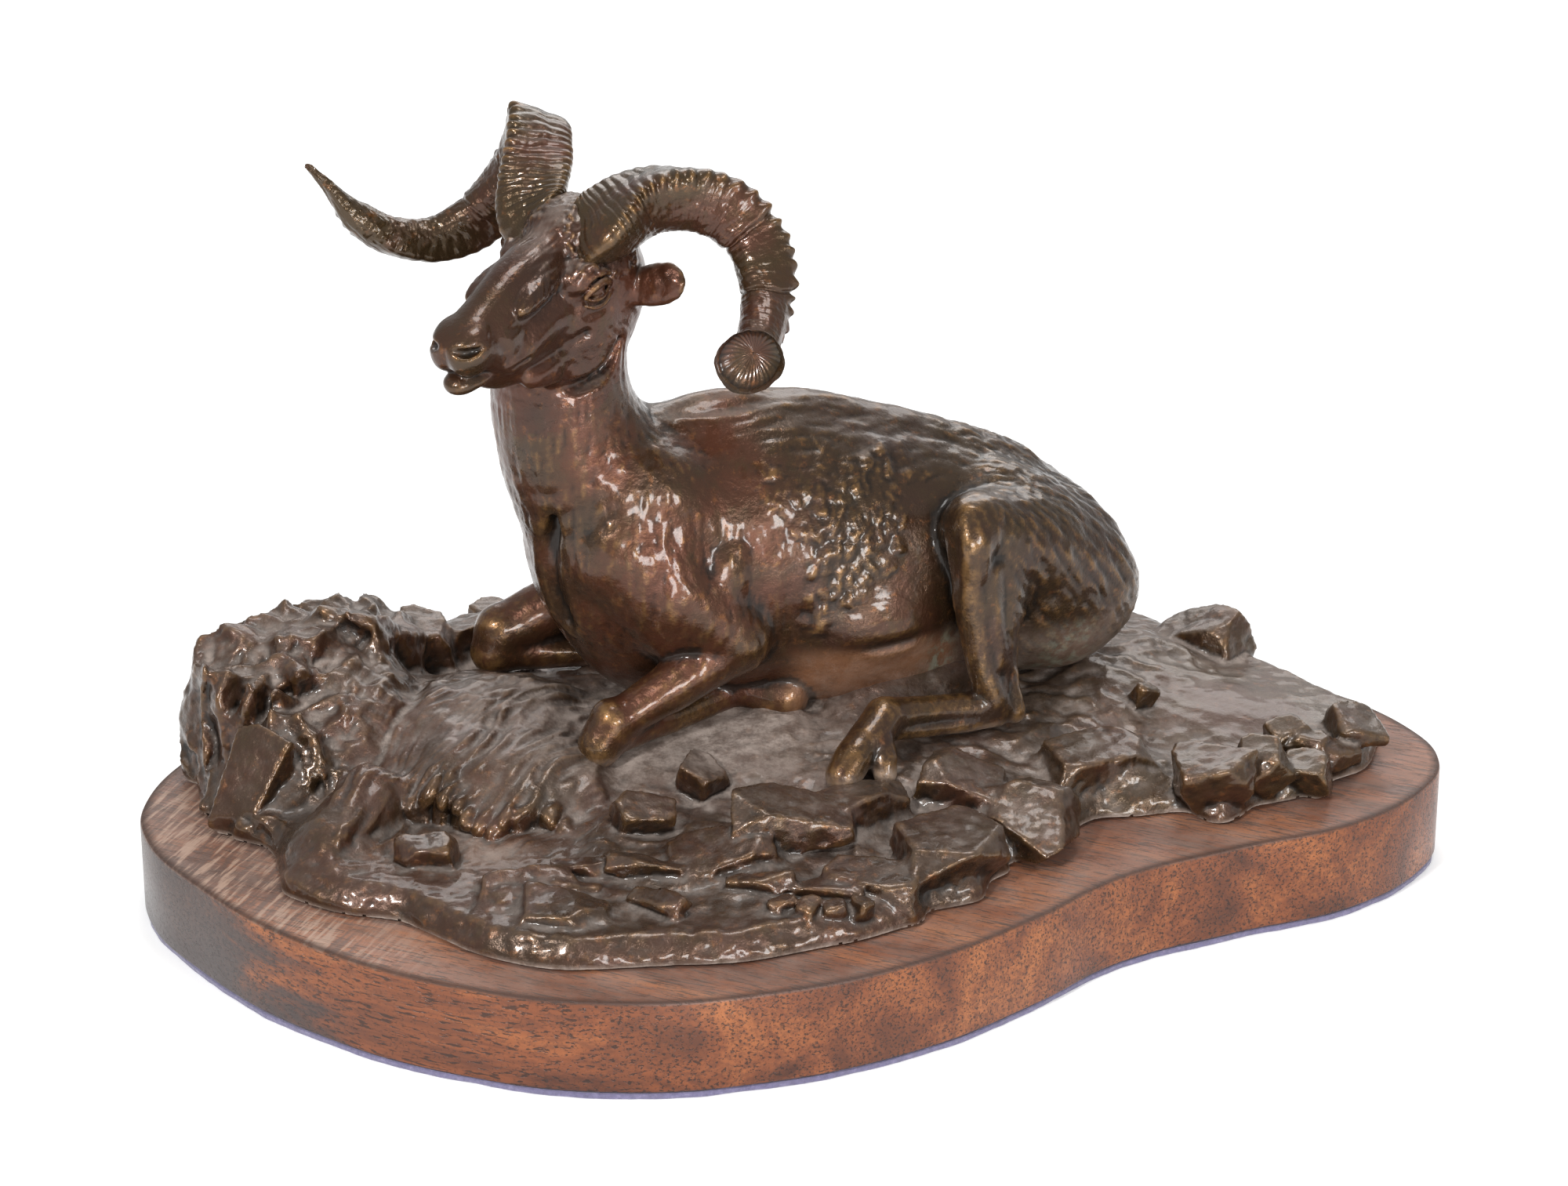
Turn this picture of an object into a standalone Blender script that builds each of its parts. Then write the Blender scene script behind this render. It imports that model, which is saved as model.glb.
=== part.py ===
"""Resting mountain ram: a hollow bronze casting on a freeform hardwood plinth.

The ram and its rocky ground are one casting, open underneath. Three screws go
up through the plinth into bosses inside the casting, and felt covers their heads.
The origin is on the floor under the middle of the plinth. X runs along the
plinth's length and the ram looks towards -X and -Y.
"""

import math

import bmesh
import bpy
from mathutils import Matrix, Vector

# Felt and plinth
FELT_THICKNESS = 0.0012
FELT_INSET = 0.0006
WOOD_THICKNESS = 0.0188
WOOD_EDGE_ROUNDING = 0.0006
SEAT_GAP = 0.0003

# Screws, washers and their holes
SCREW_SHANK_RADIUS = 0.0024
SCREW_THREAD_ENGAGEMENT = 0.0075
SCREW_HEAD_RADIUS = 0.0042
SCREW_HEAD_HEIGHT = 0.0036
SCREW_SOCKET_RADIUS = 0.0022
SCREW_SOCKET_DEPTH = 0.0020
WASHER_RADIUS = 0.0058
WASHER_THICKNESS = 0.0011
SCREW_HOLE_RADIUS = 0.0029
COUNTERBORE_RADIUS = 0.0068
COUNTERBORE_DEPTH = 0.0065
BOSS_RADIUS = 0.0062

# Casting
CASTING_WALL = 0.0050
GROUND_LIP = 0.0022
MOUND_HEIGHT = 0.0140
BED_HEIGHT = 0.0125
CAST_VOXEL = 0.0011
CAST_TRIANGLES = 9600
CAST_SMOOTHING = 10
CORE_VOXEL = 0.0022
CORE_TRIANGLES = 900
CORE_SMOOTHING = 4

# Chamfer of a rock's edges as a share of its smallest side, and of the ear that is blade
ROCK_CHAMFER = 0.22
EAR_REACH = 0.58

# How far a cutter runs past the face that it cuts, and the reach of the largest ones
CUT_OVERSHOOT = 0.010
CUT_REACH = 0.050

# Ram: where it lies on the ground, and how its head is turned
RAM_X = 0.0
RAM_Y = 0.0204
RAM_HEADING = math.radians(20)
HEAD_X = -0.0446
HEAD_Z = 0.1026
HEAD_YAW = math.radians(34)
HEAD_PITCH = math.radians(8)

# Heights that follow from the sizes above
WOOD_BOTTOM = FELT_THICKNESS + SEAT_GAP
WOOD_TOP = WOOD_BOTTOM + WOOD_THICKNESS
CAST_BOTTOM = WOOD_TOP + SEAT_GAP

# Outlines, counter-clockwise from the left end, as (x, y)
PLINTH_OUTLINE = [
    (-0.1278, -0.0120),
    (-0.1259, -0.0276),
    (-0.1140, -0.0466),
    (-0.0927, -0.0683),
    (-0.0626, -0.0853),
    (-0.0338, -0.0916),
    (-0.0054, -0.0880),
    (0.0234, -0.0758),
    (0.0459, -0.0583),
    (0.0615, -0.0435),
    (0.0848, -0.0316),
    (0.1086, -0.0211),
    (0.1241, -0.0055),
    (0.1281, 0.0060),
    (0.1241, 0.0200),
    (0.1000, 0.0455),
    (0.0767, 0.0672),
    (0.0450, 0.0870),
    (0.0050, 0.0911),
    (-0.0450, 0.0790),
    (-0.0920, 0.0475),
    (-0.1175, 0.0140),
]
GROUND_OUTLINE = [
    (-0.1150, -0.0120),
    (-0.1128, -0.0227),
    (-0.1005, -0.0324),
    (-0.0983, -0.0435),
    (-0.0834, -0.0583),
    (-0.0666, -0.0680),
    (-0.0457, -0.0798),
    (-0.0098, -0.0771),
    (0.0119, -0.0689),
    (0.0230, -0.0626),
    (0.0313, -0.0553),
    (0.0361, -0.0451),
    (0.0393, -0.0382),
    (0.0485, -0.0340),
    (0.0583, -0.0205),
    (0.0753, -0.0178),
    (0.0826, -0.0224),
    (0.0893, -0.0155),
    (0.1057, -0.0045),
    (0.1157, 0.0092),
    (0.1172, 0.0197),
    (0.1091, 0.0286),
    (0.0764, 0.0620),
    (0.0420, 0.0790),
    (0.0050, 0.0820),
    (-0.0420, 0.0700),
    (-0.0850, 0.0410),
    (-0.1100, 0.0080),
]

# Screw places on the plinth, under high ground
SCREW_PLACES = [(-0.0680, -0.0100), (0.0640, 0.0100), (-0.0060, 0.0480)]

# Mounds of the ground: centre (x, y), and radii (x, y, height)
MOUNDS = [
    ((-0.008, 0.012), (0.090, 0.064, MOUND_HEIGHT)),
    ((0.052, 0.030), (0.046, 0.040, 0.0125)),
    ((-0.066, -0.006), (0.032, 0.034, 0.0205)),
    ((-0.062, -0.022), (0.025, 0.019, 0.0205)),
    ((-0.020, -0.044), (0.046, 0.032, 0.0085)),
    ((0.000, -0.038), (0.030, 0.022, 0.0090)),
    ((0.029, -0.046), (0.014, 0.012, 0.0080)),
    ((0.060, -0.010), (0.020, 0.016, 0.0085)),
    ((0.082, 0.016), (0.034, 0.028, 0.0086)),
    ((-0.088, 0.002), (0.024, 0.030, 0.0210)),
    ((-0.088, -0.042), (0.013, 0.015, 0.0100)),
]

# Smooth roll at the left mound's corner: points (x, y, height), each with its radius
GROUND_ROLL = [
    ((-0.0840, -0.0330, 0.0110), 0.0050),
    ((-0.0900, -0.0410, 0.0065), 0.0054),
    ((-0.0930, -0.0480, 0.0020), 0.0044),
]

# Rocks on the ground: centre (x, y, height), size, and turn (x, z) in degrees
ROCKS = [
    ((-0.1090, -0.0030, 0.0100), (0.017, 0.018, 0.024), (-8, 30)),
    ((-0.1060, 0.0070, 0.0130), (0.017, 0.018, 0.025), (5, 10)),
    ((-0.0980, 0.0110, 0.0130), (0.016, 0.018, 0.026), (-8, 35)),
    ((-0.0900, 0.0150, 0.0120), (0.016, 0.016, 0.027), (-12, 20)),
    ((-0.0840, 0.0230, 0.0100), (0.012, 0.014, 0.024), (0, 40)),
    ((-0.0770, 0.0310, 0.0090), (0.014, 0.012, 0.019), (5, 15)),
    ((-0.0690, 0.0380, 0.0070), (0.012, 0.012, 0.016), (-5, 35)),
    ((-0.0960, -0.0020, 0.0090), (0.018, 0.018, 0.024), (-18, 15)),
    ((-0.1016, -0.0222, 0.0095), (0.018, 0.009, 0.023), (-17, -40)),
    ((-0.0980, -0.0160, 0.0080), (0.014, 0.014, 0.018), (-20, -20)),
    ((-0.0295, -0.0388, 0.0096), (0.011, 0.008, 0.007), (16, 12)),
    ((-0.0184, -0.0244, 0.0112), (0.009, 0.009, 0.006), (14, 45)),
    ((-0.0700, -0.0470, 0.0048), (0.011, 0.008, 0.007), (10, -22)),
    ((-0.0413, -0.0535, 0.0060), (0.011, 0.005, 0.004), (8, 2)),
    ((-0.0280, -0.0557, 0.0050), (0.016, 0.005, 0.004), (6, -17)),
    ((-0.0255, -0.0665, 0.0036), (0.012, 0.005, 0.004), (8, -36)),
    ((-0.0010, -0.0425, 0.0050), (0.022, 0.015, 0.009), (-9, 6)),
    ((0.0000, -0.0606, 0.0046), (0.024, 0.005, 0.004), (7, 4)),
    ((0.0800, -0.0160, 0.0026), (0.013, 0.011, 0.009), (14, 10)),
    ((0.0908, -0.0108, 0.0030), (0.009, 0.010, 0.008), (10, 28)),
    ((0.0998, -0.0090, 0.0024), (0.010, 0.008, 0.007), (12, -22)),
    ((0.0965, 0.0015, 0.0042), (0.008, 0.007, 0.007), (8, 24)),
    ((0.1108, 0.0070, 0.0028), (0.010, 0.011, 0.006), (0, 22)),
    ((0.0686, 0.0124, 0.0100), (0.005, 0.004, 0.008), (24, 30)),
]

# Ram, in its own frame: x towards the tail, y to its right, z up from the ground.
# Body masses: centre, radii and tilt about y in degrees
BODY_MASSES = [
    ((-0.006, 0.000, 0.0280), (0.042, 0.024, 0.0310), 6),
    ((-0.018, 0.000, 0.0430), (0.024, 0.011, 0.0190), 8),
    ((0.020, 0.000, 0.0240), (0.042, 0.025, 0.0260), 9),
    ((0.042, -0.002, 0.0185), (0.025, 0.022, 0.0190), 18),
    ((-0.036, 0.000, 0.0260), (0.015, 0.016, 0.0240), -14),
    ((-0.028, -0.012, 0.0390), (0.015, 0.0095, 0.0210), -22),
    ((-0.028, 0.012, 0.0390), (0.015, 0.0095, 0.0210), -22),
    ((0.048, -0.015, 0.0165), (0.019, 0.012, 0.0160), 0),
    ((0.048, 0.014, 0.0165), (0.019, 0.012, 0.0160), 0),
]

# Limbs: points from the body outwards, each with its radius
LIMBS = {
    "neck": [
        ((-0.034, 0.000, 0.034), 0.0200),
        ((-0.045, 0.000, 0.055), 0.0155),
        ((-0.0485, 0.000, 0.068), 0.0138),
        ((-0.047, 0.000, 0.084), 0.0125),
        ((-0.043, 0.000, 0.092), 0.0110),
    ],
    "left_upper_arm": [
        ((-0.041, -0.012, 0.037), 0.0095),
        ((-0.031, -0.017, 0.029), 0.0095),
        ((-0.020, -0.020, 0.019), 0.0075),
    ],
    "left_forearm": [
        ((-0.020, -0.020, 0.018), 0.0072),
        ((-0.033, -0.0215, 0.0125), 0.0064),
        ((-0.0455, -0.022, 0.0060), 0.0054),
    ],
    "left_fore_cannon": [
        ((-0.0455, -0.022, 0.0040), 0.0048),
        ((-0.032, -0.0165, 0.0030), 0.0034),
        ((-0.0195, -0.0120, 0.0036), 0.0040),
        ((-0.0100, -0.0135, 0.0030), 0.0045),
    ],
    "right_upper_arm": [
        ((-0.043, 0.013, 0.037), 0.0100),
        ((-0.024, 0.019, 0.019), 0.0080),
    ],
    "right_forearm": [
        ((-0.024, 0.019, 0.018), 0.0072),
        ((-0.042, 0.021, 0.0130), 0.0062),
        ((-0.0560, 0.022, 0.0070), 0.0054),
    ],
    "right_fore_cannon": [
        ((-0.0560, 0.022, 0.0040), 0.0048),
        ((-0.0400, 0.018, 0.0030), 0.0036),
        ((-0.0280, 0.015, 0.0030), 0.0042),
    ],
    "left_thigh": [
        ((0.049, -0.010, 0.0220), 0.0150),
        ((0.037, -0.020, 0.0310), 0.0120),
        ((0.0225, -0.0280, 0.0390), 0.0072),
    ],
    "left_shin": [
        ((0.0220, -0.0290, 0.0390), 0.0068),
        ((0.0240, -0.0310, 0.0240), 0.0056),
        ((0.0265, -0.0340, 0.0070), 0.0042),
    ],
    "left_hock_tendon": [
        ((0.0330, -0.0250, 0.0240), 0.0050),
        ((0.0310, -0.0310, 0.0130), 0.0028),
        ((0.0315, -0.0345, 0.0030), 0.0032),
    ],
    "left_hind_cannon": [
        ((0.0300, -0.0345, 0.0045), 0.0040),
        ((0.0170, -0.0350, 0.0055), 0.0034),
        ((0.0050, -0.0360, 0.0070), 0.0042),
        ((-0.0020, -0.0390, 0.0040), 0.0044),
        ((-0.0095, -0.0440, -0.0030), 0.0038),
    ],
    "right_thigh": [
        ((0.049, 0.010, 0.0200), 0.0150),
        ((0.026, 0.022, 0.0220), 0.0090),
    ],
    "right_shin": [
        ((0.028, 0.025, 0.0220), 0.0070),
        ((0.042, 0.032, 0.0050), 0.0042),
    ],
    "right_hind_cannon": [
        ((0.042, 0.033, 0.0030), 0.0040),
        ((0.014, 0.034, 0.0025), 0.0036),
        ((0.002, 0.035, 0.0015), 0.0042),
    ],
    "tail": [
        ((0.060, 0.000, 0.0230), 0.0040),
        ((0.0665, 0.000, 0.0150), 0.0034),
        ((0.0680, 0.000, 0.0080), 0.0020),
    ],
}

# Head, in its own frame: x towards the nose, y to the ram's left, z up, with its
# origin between the horns. Masses: centre, radii and tilt about y in degrees
HEAD_MASSES = [
    ((-0.0020, 0.000, -0.0090), (0.0130, 0.0112, 0.0095), 0),
    ((0.0090, 0.000, -0.0150), (0.0140, 0.0095, 0.0130), 0),
    ((0.0210, 0.000, -0.0120), (0.0160, 0.0074, 0.0118), 8),
    ((0.0335, 0.000, -0.0110), (0.0085, 0.0064, 0.0084), 10),
    ((0.0090, 0.0065, -0.0055), (0.0060, 0.0045, 0.0040), 0),
    ((0.0090, -0.0065, -0.0055), (0.0060, 0.0045, 0.0040), 0),
]
HEAD_LIMBS = [
    [((0.0020, 0.0, -0.0065), 0.0070), ((0.0200, 0.0, -0.0050), 0.0052), ((0.0365, 0.0, -0.0070), 0.0042)],
    [((0.0060, 0.0, -0.0200), 0.0070), ((0.0240, 0.0, -0.0185), 0.0048), ((0.0365, 0.0, -0.0165), 0.0032)],
]
EAR_ROOT = (-0.0010, 0.0100, -0.0150)
EAR_TIP = (-0.0030, 0.0215, -0.0100)
EAR_WIDTH = 0.0078
EAR_THICKNESS = 0.0030

# Horn centre lines in the head's frame, y measured outwards, each with its radius
LEFT_HORN = [
    ((0.0005, 0.0085, -0.0030), 0.0074),
    ((-0.0052, 0.0128, 0.0035), 0.0072),
    ((-0.0097, 0.0172, 0.0036), 0.0071),
    ((-0.0131, 0.0218, 0.0018), 0.0068),
    ((-0.0146, 0.0264, -0.0011), 0.0066),
    ((-0.0140, 0.0309, -0.0055), 0.0060),
    ((-0.0109, 0.0348, -0.0100), 0.0056),
    ((-0.0060, 0.0382, -0.0138), 0.0050),
    ((0.0000, 0.0411, -0.0161), 0.0046),
    ((0.0065, 0.0436, -0.0170), 0.0053),
]
RIGHT_HORN = [
    ((0.0000, 0.0085, -0.0030), 0.0074),
    ((-0.0078, 0.0141, 0.0066), 0.0069),
    ((-0.0140, 0.0195, 0.0074), 0.0064),
    ((-0.0162, 0.0246, 0.0010), 0.0060),
    ((-0.0142, 0.0298, -0.0066), 0.0058),
    ((-0.0097, 0.0347, -0.0119), 0.0054),
    ((-0.0034, 0.0395, -0.0148), 0.0047),
    ((0.0029, 0.0443, -0.0132), 0.0043),
    ((0.0078, 0.0495, -0.0074), 0.0033),
    ((0.0109, 0.0552, 0.0020), 0.0012),
]

# Hollow of the casting: it fills these body masses inside the wall, and a passage
# (centre, radii, in the ram's frame) joins it to the hollow under the ground
HOLLOW_MASSES = [BODY_MASSES[0], BODY_MASSES[2]]
PASSAGE = ((0.008, 0.000, 0.0000), (0.034, 0.0095, 0.0120))
GROUND_CORE_INSET = 0.0120

# Facets of round forms
MASS_SEGMENTS = 28
MASS_RINGS = 16
BORE_SIDES = 20
HEAD_SIDES = 24
DISC_SIDES = 28
SOCKET_SIDES = 6


def clear_scene():
    for old in list(bpy.data.objects):
        bpy.data.objects.remove(old, do_unlink=True)


def new_collection(name, hidden=False):
    made = bpy.data.collections.new(name)
    bpy.context.scene.collection.children.link(made)
    made.hide_render = hidden
    return made


def material(name, colour, roughness, metallic):
    made = bpy.data.materials.new(name)
    made.use_nodes = True
    shader = made.node_tree.nodes["Principled BSDF"]
    shader.inputs["Base Color"].default_value = (*colour, 1.0)
    shader.inputs["Roughness"].default_value = roughness
    shader.inputs["Metallic"].default_value = metallic
    return made


def part_object(name, mesh, collection, finish):
    made = bpy.data.objects.new(name, mesh)
    made.data.materials.clear()
    made.data.materials.append(finish)
    collection.objects.link(made)
    return made


def cutter_object(name, mesh):
    made = bpy.data.objects.new(name, mesh)
    cutters.objects.link(made)
    made.hide_render = True
    made.display_type = "WIRE"
    return made


def evaluated_mesh(thing):
    """The object's mesh after its modifiers, as a mesh of its own."""
    bpy.context.view_layer.update()
    graph = bpy.context.evaluated_depsgraph_get()
    return bpy.data.meshes.new_from_object(thing.evaluated_get(graph))


def mesh_of_curve(curve):
    """A mesh made from a curve, with its caps welded to its sides."""
    holder = bpy.data.objects.new("guide", curve)
    bpy.context.scene.collection.objects.link(holder)
    mesh = evaluated_mesh(holder)
    bpy.data.objects.remove(holder, do_unlink=True)
    work = bmesh.new()
    work.from_mesh(mesh)
    bmesh.ops.remove_doubles(work, verts=work.verts, dist=1e-6)
    bmesh.ops.recalc_face_normals(work, faces=work.faces)
    work.to_mesh(mesh)
    work.free()
    return mesh


def smooth_outline_slab(outline, thickness, inset=0.0):
    """A slab of this thickness about z = 0 whose edge runs smoothly through the points."""
    curve = bpy.data.curves.new("outline", "CURVE")
    curve.dimensions = "2D"
    curve.fill_mode = "BOTH"
    curve.extrude = thickness / 2
    curve.offset = -inset
    curve.resolution_u = 4
    spline = curve.splines.new("BEZIER")
    spline.bezier_points.add(len(outline) - 1)
    for point, (x, y) in zip(spline.bezier_points, outline):
        point.co = (x, y, 0)
        point.handle_left_type = "AUTO"
        point.handle_right_type = "AUTO"
    spline.use_cyclic_u = True
    return mesh_of_curve(curve)


def limb_mesh(points, sides=3):
    """A round limb through the points, each with its own radius, with domed ends."""
    curve = bpy.data.curves.new("limb", "CURVE")
    curve.dimensions = "3D"
    curve.bevel_depth = 1.0
    curve.bevel_resolution = sides
    curve.resolution_u = 6
    curve.use_fill_caps = True
    spline = curve.splines.new("BEZIER")
    spline.bezier_points.add(len(points) - 1)
    for point, (place, radius) in zip(spline.bezier_points, points):
        point.co = place
        point.radius = radius
        point.handle_left_type = "AUTO"
        point.handle_right_type = "AUTO"
    return mesh_of_curve(curve)


def mass_matrix(centre, radii, tilt=0.0):
    turn = Matrix.Rotation(math.radians(tilt), 4, "Y")
    return Matrix.Translation(centre) @ turn @ Matrix.Diagonal((*radii, 1.0))


def add_mass(work, frame, centre, radii, tilt=0.0):
    """Adds one rounded mass, an ellipsoid, to the mesh being built."""
    matrix = frame @ mass_matrix(centre, radii, tilt)
    bmesh.ops.create_uvsphere(
        work,
        u_segments=MASS_SEGMENTS,
        v_segments=MASS_RINGS,
        radius=1.0,
        matrix=matrix,
    )


def add_mesh(work, mesh, matrix):
    mesh.transform(matrix)
    work.from_mesh(mesh)
    bpy.data.meshes.remove(mesh)


def add_limb(work, frame, points):
    """Adds a limb and a ball at each end of it, so that joints stay full."""
    add_mesh(work, limb_mesh(points), frame)
    for place, radius in (points[0], points[-1]):
        add_mass(work, frame, place, (radius, radius, radius))


def add_rock(work, place, size, turn):
    """Adds one block of rock with its corners knocked off."""
    lean, heading = (math.radians(angle) for angle in turn)
    matrix = (
        Matrix.Translation((place[0], place[1], CAST_BOTTOM + place[2]))
        @ Matrix.Rotation(heading, 4, "Z")
        @ Matrix.Rotation(lean, 4, "X")
        @ Matrix.Diagonal((*size, 1.0))
    )
    made = bmesh.ops.create_cube(work, size=1.0, matrix=matrix)
    edges = {edge for vert in made["verts"] for edge in vert.link_edges}
    bmesh.ops.bevel(work, geom=list(edges), offset=min(size) * ROCK_CHAMFER, segments=1, affect="EDGES")


def ram_frame():
    return (
        Matrix.Translation((RAM_X, RAM_Y, CAST_BOTTOM + BED_HEIGHT))
        @ Matrix.Rotation(RAM_HEADING, 4, "Z")
    )


def head_frame():
    """The head's own frame: x to the nose, y to the ram's left, z up."""
    facing = Matrix.Rotation(math.pi + HEAD_YAW, 4, "Z")
    nod = Matrix.Rotation(HEAD_PITCH, 4, "Y")
    return ram_frame() @ Matrix.Translation((HEAD_X, 0.0, HEAD_Z)) @ facing @ nod


def add_ground(work):
    slab = smooth_outline_slab(GROUND_OUTLINE, GROUND_LIP * 2)
    add_mesh(work, slab, Matrix.Translation((0, 0, CAST_BOTTOM)))
    for (x, y), radii in MOUNDS:
        add_mass(work, Matrix.Identity(4), (x, y, CAST_BOTTOM), radii)
    add_limb(work, Matrix.Translation((0, 0, CAST_BOTTOM)), GROUND_ROLL)
    for place, size, turn in ROCKS:
        add_rock(work, place, size, turn)


def add_body(work):
    frame = ram_frame()
    for centre, radii, tilt in BODY_MASSES:
        add_mass(work, frame, centre, radii, tilt)
    for points in LIMBS.values():
        add_limb(work, frame, points)


def add_ear(work, frame, side):
    root = Vector((EAR_ROOT[0], EAR_ROOT[1] * side, EAR_ROOT[2]))
    tip = Vector((EAR_TIP[0], EAR_TIP[1] * side, EAR_TIP[2]))
    along = (tip - root).normalized()
    blade = Matrix.Translation((root + tip) / 2) @ along.to_track_quat("X", "Z").to_matrix().to_4x4()
    radii = ((tip - root).length * EAR_REACH, EAR_THICKNESS / 2, EAR_WIDTH / 2)
    add_mass(work, frame @ blade, (0, 0, 0), radii)


def add_horn(work, frame, points, side):
    placed = [((x, y * side, z), radius) for (x, y, z), radius in points]
    add_limb(work, frame, placed)


def add_head(work):
    frame = head_frame()
    for centre, radii, tilt in HEAD_MASSES:
        add_mass(work, frame, centre, radii, tilt)
    for points in HEAD_LIMBS:
        add_limb(work, frame, points)
    for side in (1, -1):
        add_ear(work, frame, side)
    add_horn(work, frame, LEFT_HORN, 1)
    add_horn(work, frame, RIGHT_HORN, -1)


def fused(work, voxel, triangles, smoothing):
    """One closed skin round everything in the mesh, smoothed and thinned out."""
    mesh = bpy.data.meshes.new("fused")
    work.to_mesh(mesh)
    work.free()
    holder = bpy.data.objects.new("fused", mesh)
    bpy.context.scene.collection.objects.link(holder)
    skin = holder.modifiers.new("skin", "REMESH")
    skin.mode = "VOXEL"
    skin.voxel_size = voxel
    soften = holder.modifiers.new("soften", "SMOOTH")
    soften.factor = 0.5
    soften.iterations = smoothing
    full = evaluated_mesh(holder)
    thin = holder.modifiers.new("thin", "DECIMATE")
    thin.ratio = min(1.0, triangles / (2 * len(full.polygons)))
    result = evaluated_mesh(holder)
    bpy.data.objects.remove(holder, do_unlink=True)
    return result


def cylinder_mesh(radius, low, high, place, sides):
    work = bmesh.new()
    bmesh.ops.create_cone(
        work,
        cap_ends=True,
        segments=sides,
        radius1=radius,
        radius2=radius,
        depth=high - low,
        matrix=Matrix.Translation((*place, (low + high) / 2)),
    )
    mesh = bpy.data.meshes.new("cylinder")
    work.to_mesh(mesh)
    work.free()
    return mesh


def cut(thing, cutter, operation="DIFFERENCE"):
    step = thing.modifiers.new(cutter.name, "BOOLEAN")
    step.operation = operation
    step.solver = "EXACT"
    step.object = cutter


def apply_all(thing):
    """Replaces the object's mesh by what its modifiers make of it."""
    mesh = evaluated_mesh(thing)
    thing.modifiers.clear()
    thing.data = mesh


def core_mesh():
    """The hollow's shape: a core under the ground and cores up inside the body."""
    work = bmesh.new()
    (x, y), (length, width, height) = MOUNDS[0]
    radii = (length - GROUND_CORE_INSET, width - GROUND_CORE_INSET, height - CASTING_WALL)
    add_mass(work, Matrix.Identity(4), (x, y, CAST_BOTTOM), radii)
    for centre, body_radii, tilt in HOLLOW_MASSES:
        inner_radii = [radius - CASTING_WALL for radius in body_radii]
        add_mass(work, ram_frame(), centre, inner_radii, tilt)
    add_mass(work, ram_frame(), *PASSAGE)
    return fused(work, CORE_VOXEL, CORE_TRIANGLES, CORE_SMOOTHING)


def screw_tip_height():
    return CAST_BOTTOM + SCREW_THREAD_ENGAGEMENT


def make_casting(finish):
    work = bmesh.new()
    add_ground(work)
    add_body(work)
    add_head(work)
    skin = fused(work, CAST_VOXEL, CAST_TRIANGLES, CAST_SMOOTHING)
    casting = part_object("bronze_casting", skin, parts, finish)

    core = cutter_object("core", core_mesh())
    for index, place in enumerate(SCREW_PLACES):
        boss = cylinder_mesh(BOSS_RADIUS, CAST_BOTTOM - CUT_REACH, CAST_BOTTOM + CUT_REACH, place, HEAD_SIDES)
        cut(core, cutter_object(f"boss_{index + 1}", boss))
    apply_all(core)
    cut(casting, core)

    below = smooth_outline_slab(PLINTH_OUTLINE, CUT_REACH, -CUT_OVERSHOOT)
    below.transform(Matrix.Translation((0, 0, CAST_BOTTOM - CUT_REACH / 2)))
    cut(casting, cutter_object("below", below))

    for index, place in enumerate(SCREW_PLACES):
        low, high = CAST_BOTTOM - CUT_OVERSHOOT, screw_tip_height() + SEAT_GAP
        hole = cylinder_mesh(SCREW_SHANK_RADIUS + SEAT_GAP, low, high, place, BORE_SIDES)
        cut(casting, cutter_object(f"tapped_hole_{index + 1}", hole))
    apply_all(casting)
    return casting


def make_plinth(finish):
    slab = smooth_outline_slab(PLINTH_OUTLINE, WOOD_THICKNESS)
    slab.transform(Matrix.Translation((0, 0, WOOD_BOTTOM + WOOD_THICKNESS / 2)))
    plinth = part_object("wood_plinth", slab, parts, finish)
    edge = plinth.modifiers.new("eased_edge", "BEVEL")
    edge.width = WOOD_EDGE_ROUNDING
    edge.segments = 1
    edge.limit_method = "ANGLE"
    edge.angle_limit = math.radians(60)
    for index, place in enumerate(SCREW_PLACES):
        low, high = WOOD_BOTTOM - CUT_OVERSHOOT, WOOD_TOP + CUT_OVERSHOOT
        hole = cylinder_mesh(SCREW_HOLE_RADIUS, low, high, place, BORE_SIDES)
        cut(plinth, cutter_object(f"screw_hole_{index + 1}", hole))
        floor = WOOD_BOTTOM + COUNTERBORE_DEPTH
        bore = cylinder_mesh(COUNTERBORE_RADIUS, low, floor, place, DISC_SIDES)
        cut(plinth, cutter_object(f"counterbore_{index + 1}", bore))
    return plinth


def make_felt(finish):
    sheet = smooth_outline_slab(PLINTH_OUTLINE, FELT_THICKNESS, FELT_INSET)
    sheet.transform(Matrix.Translation((0, 0, FELT_THICKNESS / 2)))
    return part_object("felt_pad", sheet, parts, finish)


def make_washer(index, place, finish):
    high = WOOD_BOTTOM + COUNTERBORE_DEPTH - SEAT_GAP
    low = high - WASHER_THICKNESS
    disc = cylinder_mesh(WASHER_RADIUS, low, high, place, DISC_SIDES)
    washer = part_object(f"washer_{index + 1}", disc, parts, finish)
    bore_radius = SCREW_SHANK_RADIUS + SEAT_GAP
    hole = cylinder_mesh(bore_radius, low - CUT_OVERSHOOT, high + CUT_OVERSHOOT, place, BORE_SIDES)
    cut(washer, cutter_object(f"washer_hole_{index + 1}", hole))
    return washer


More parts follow.
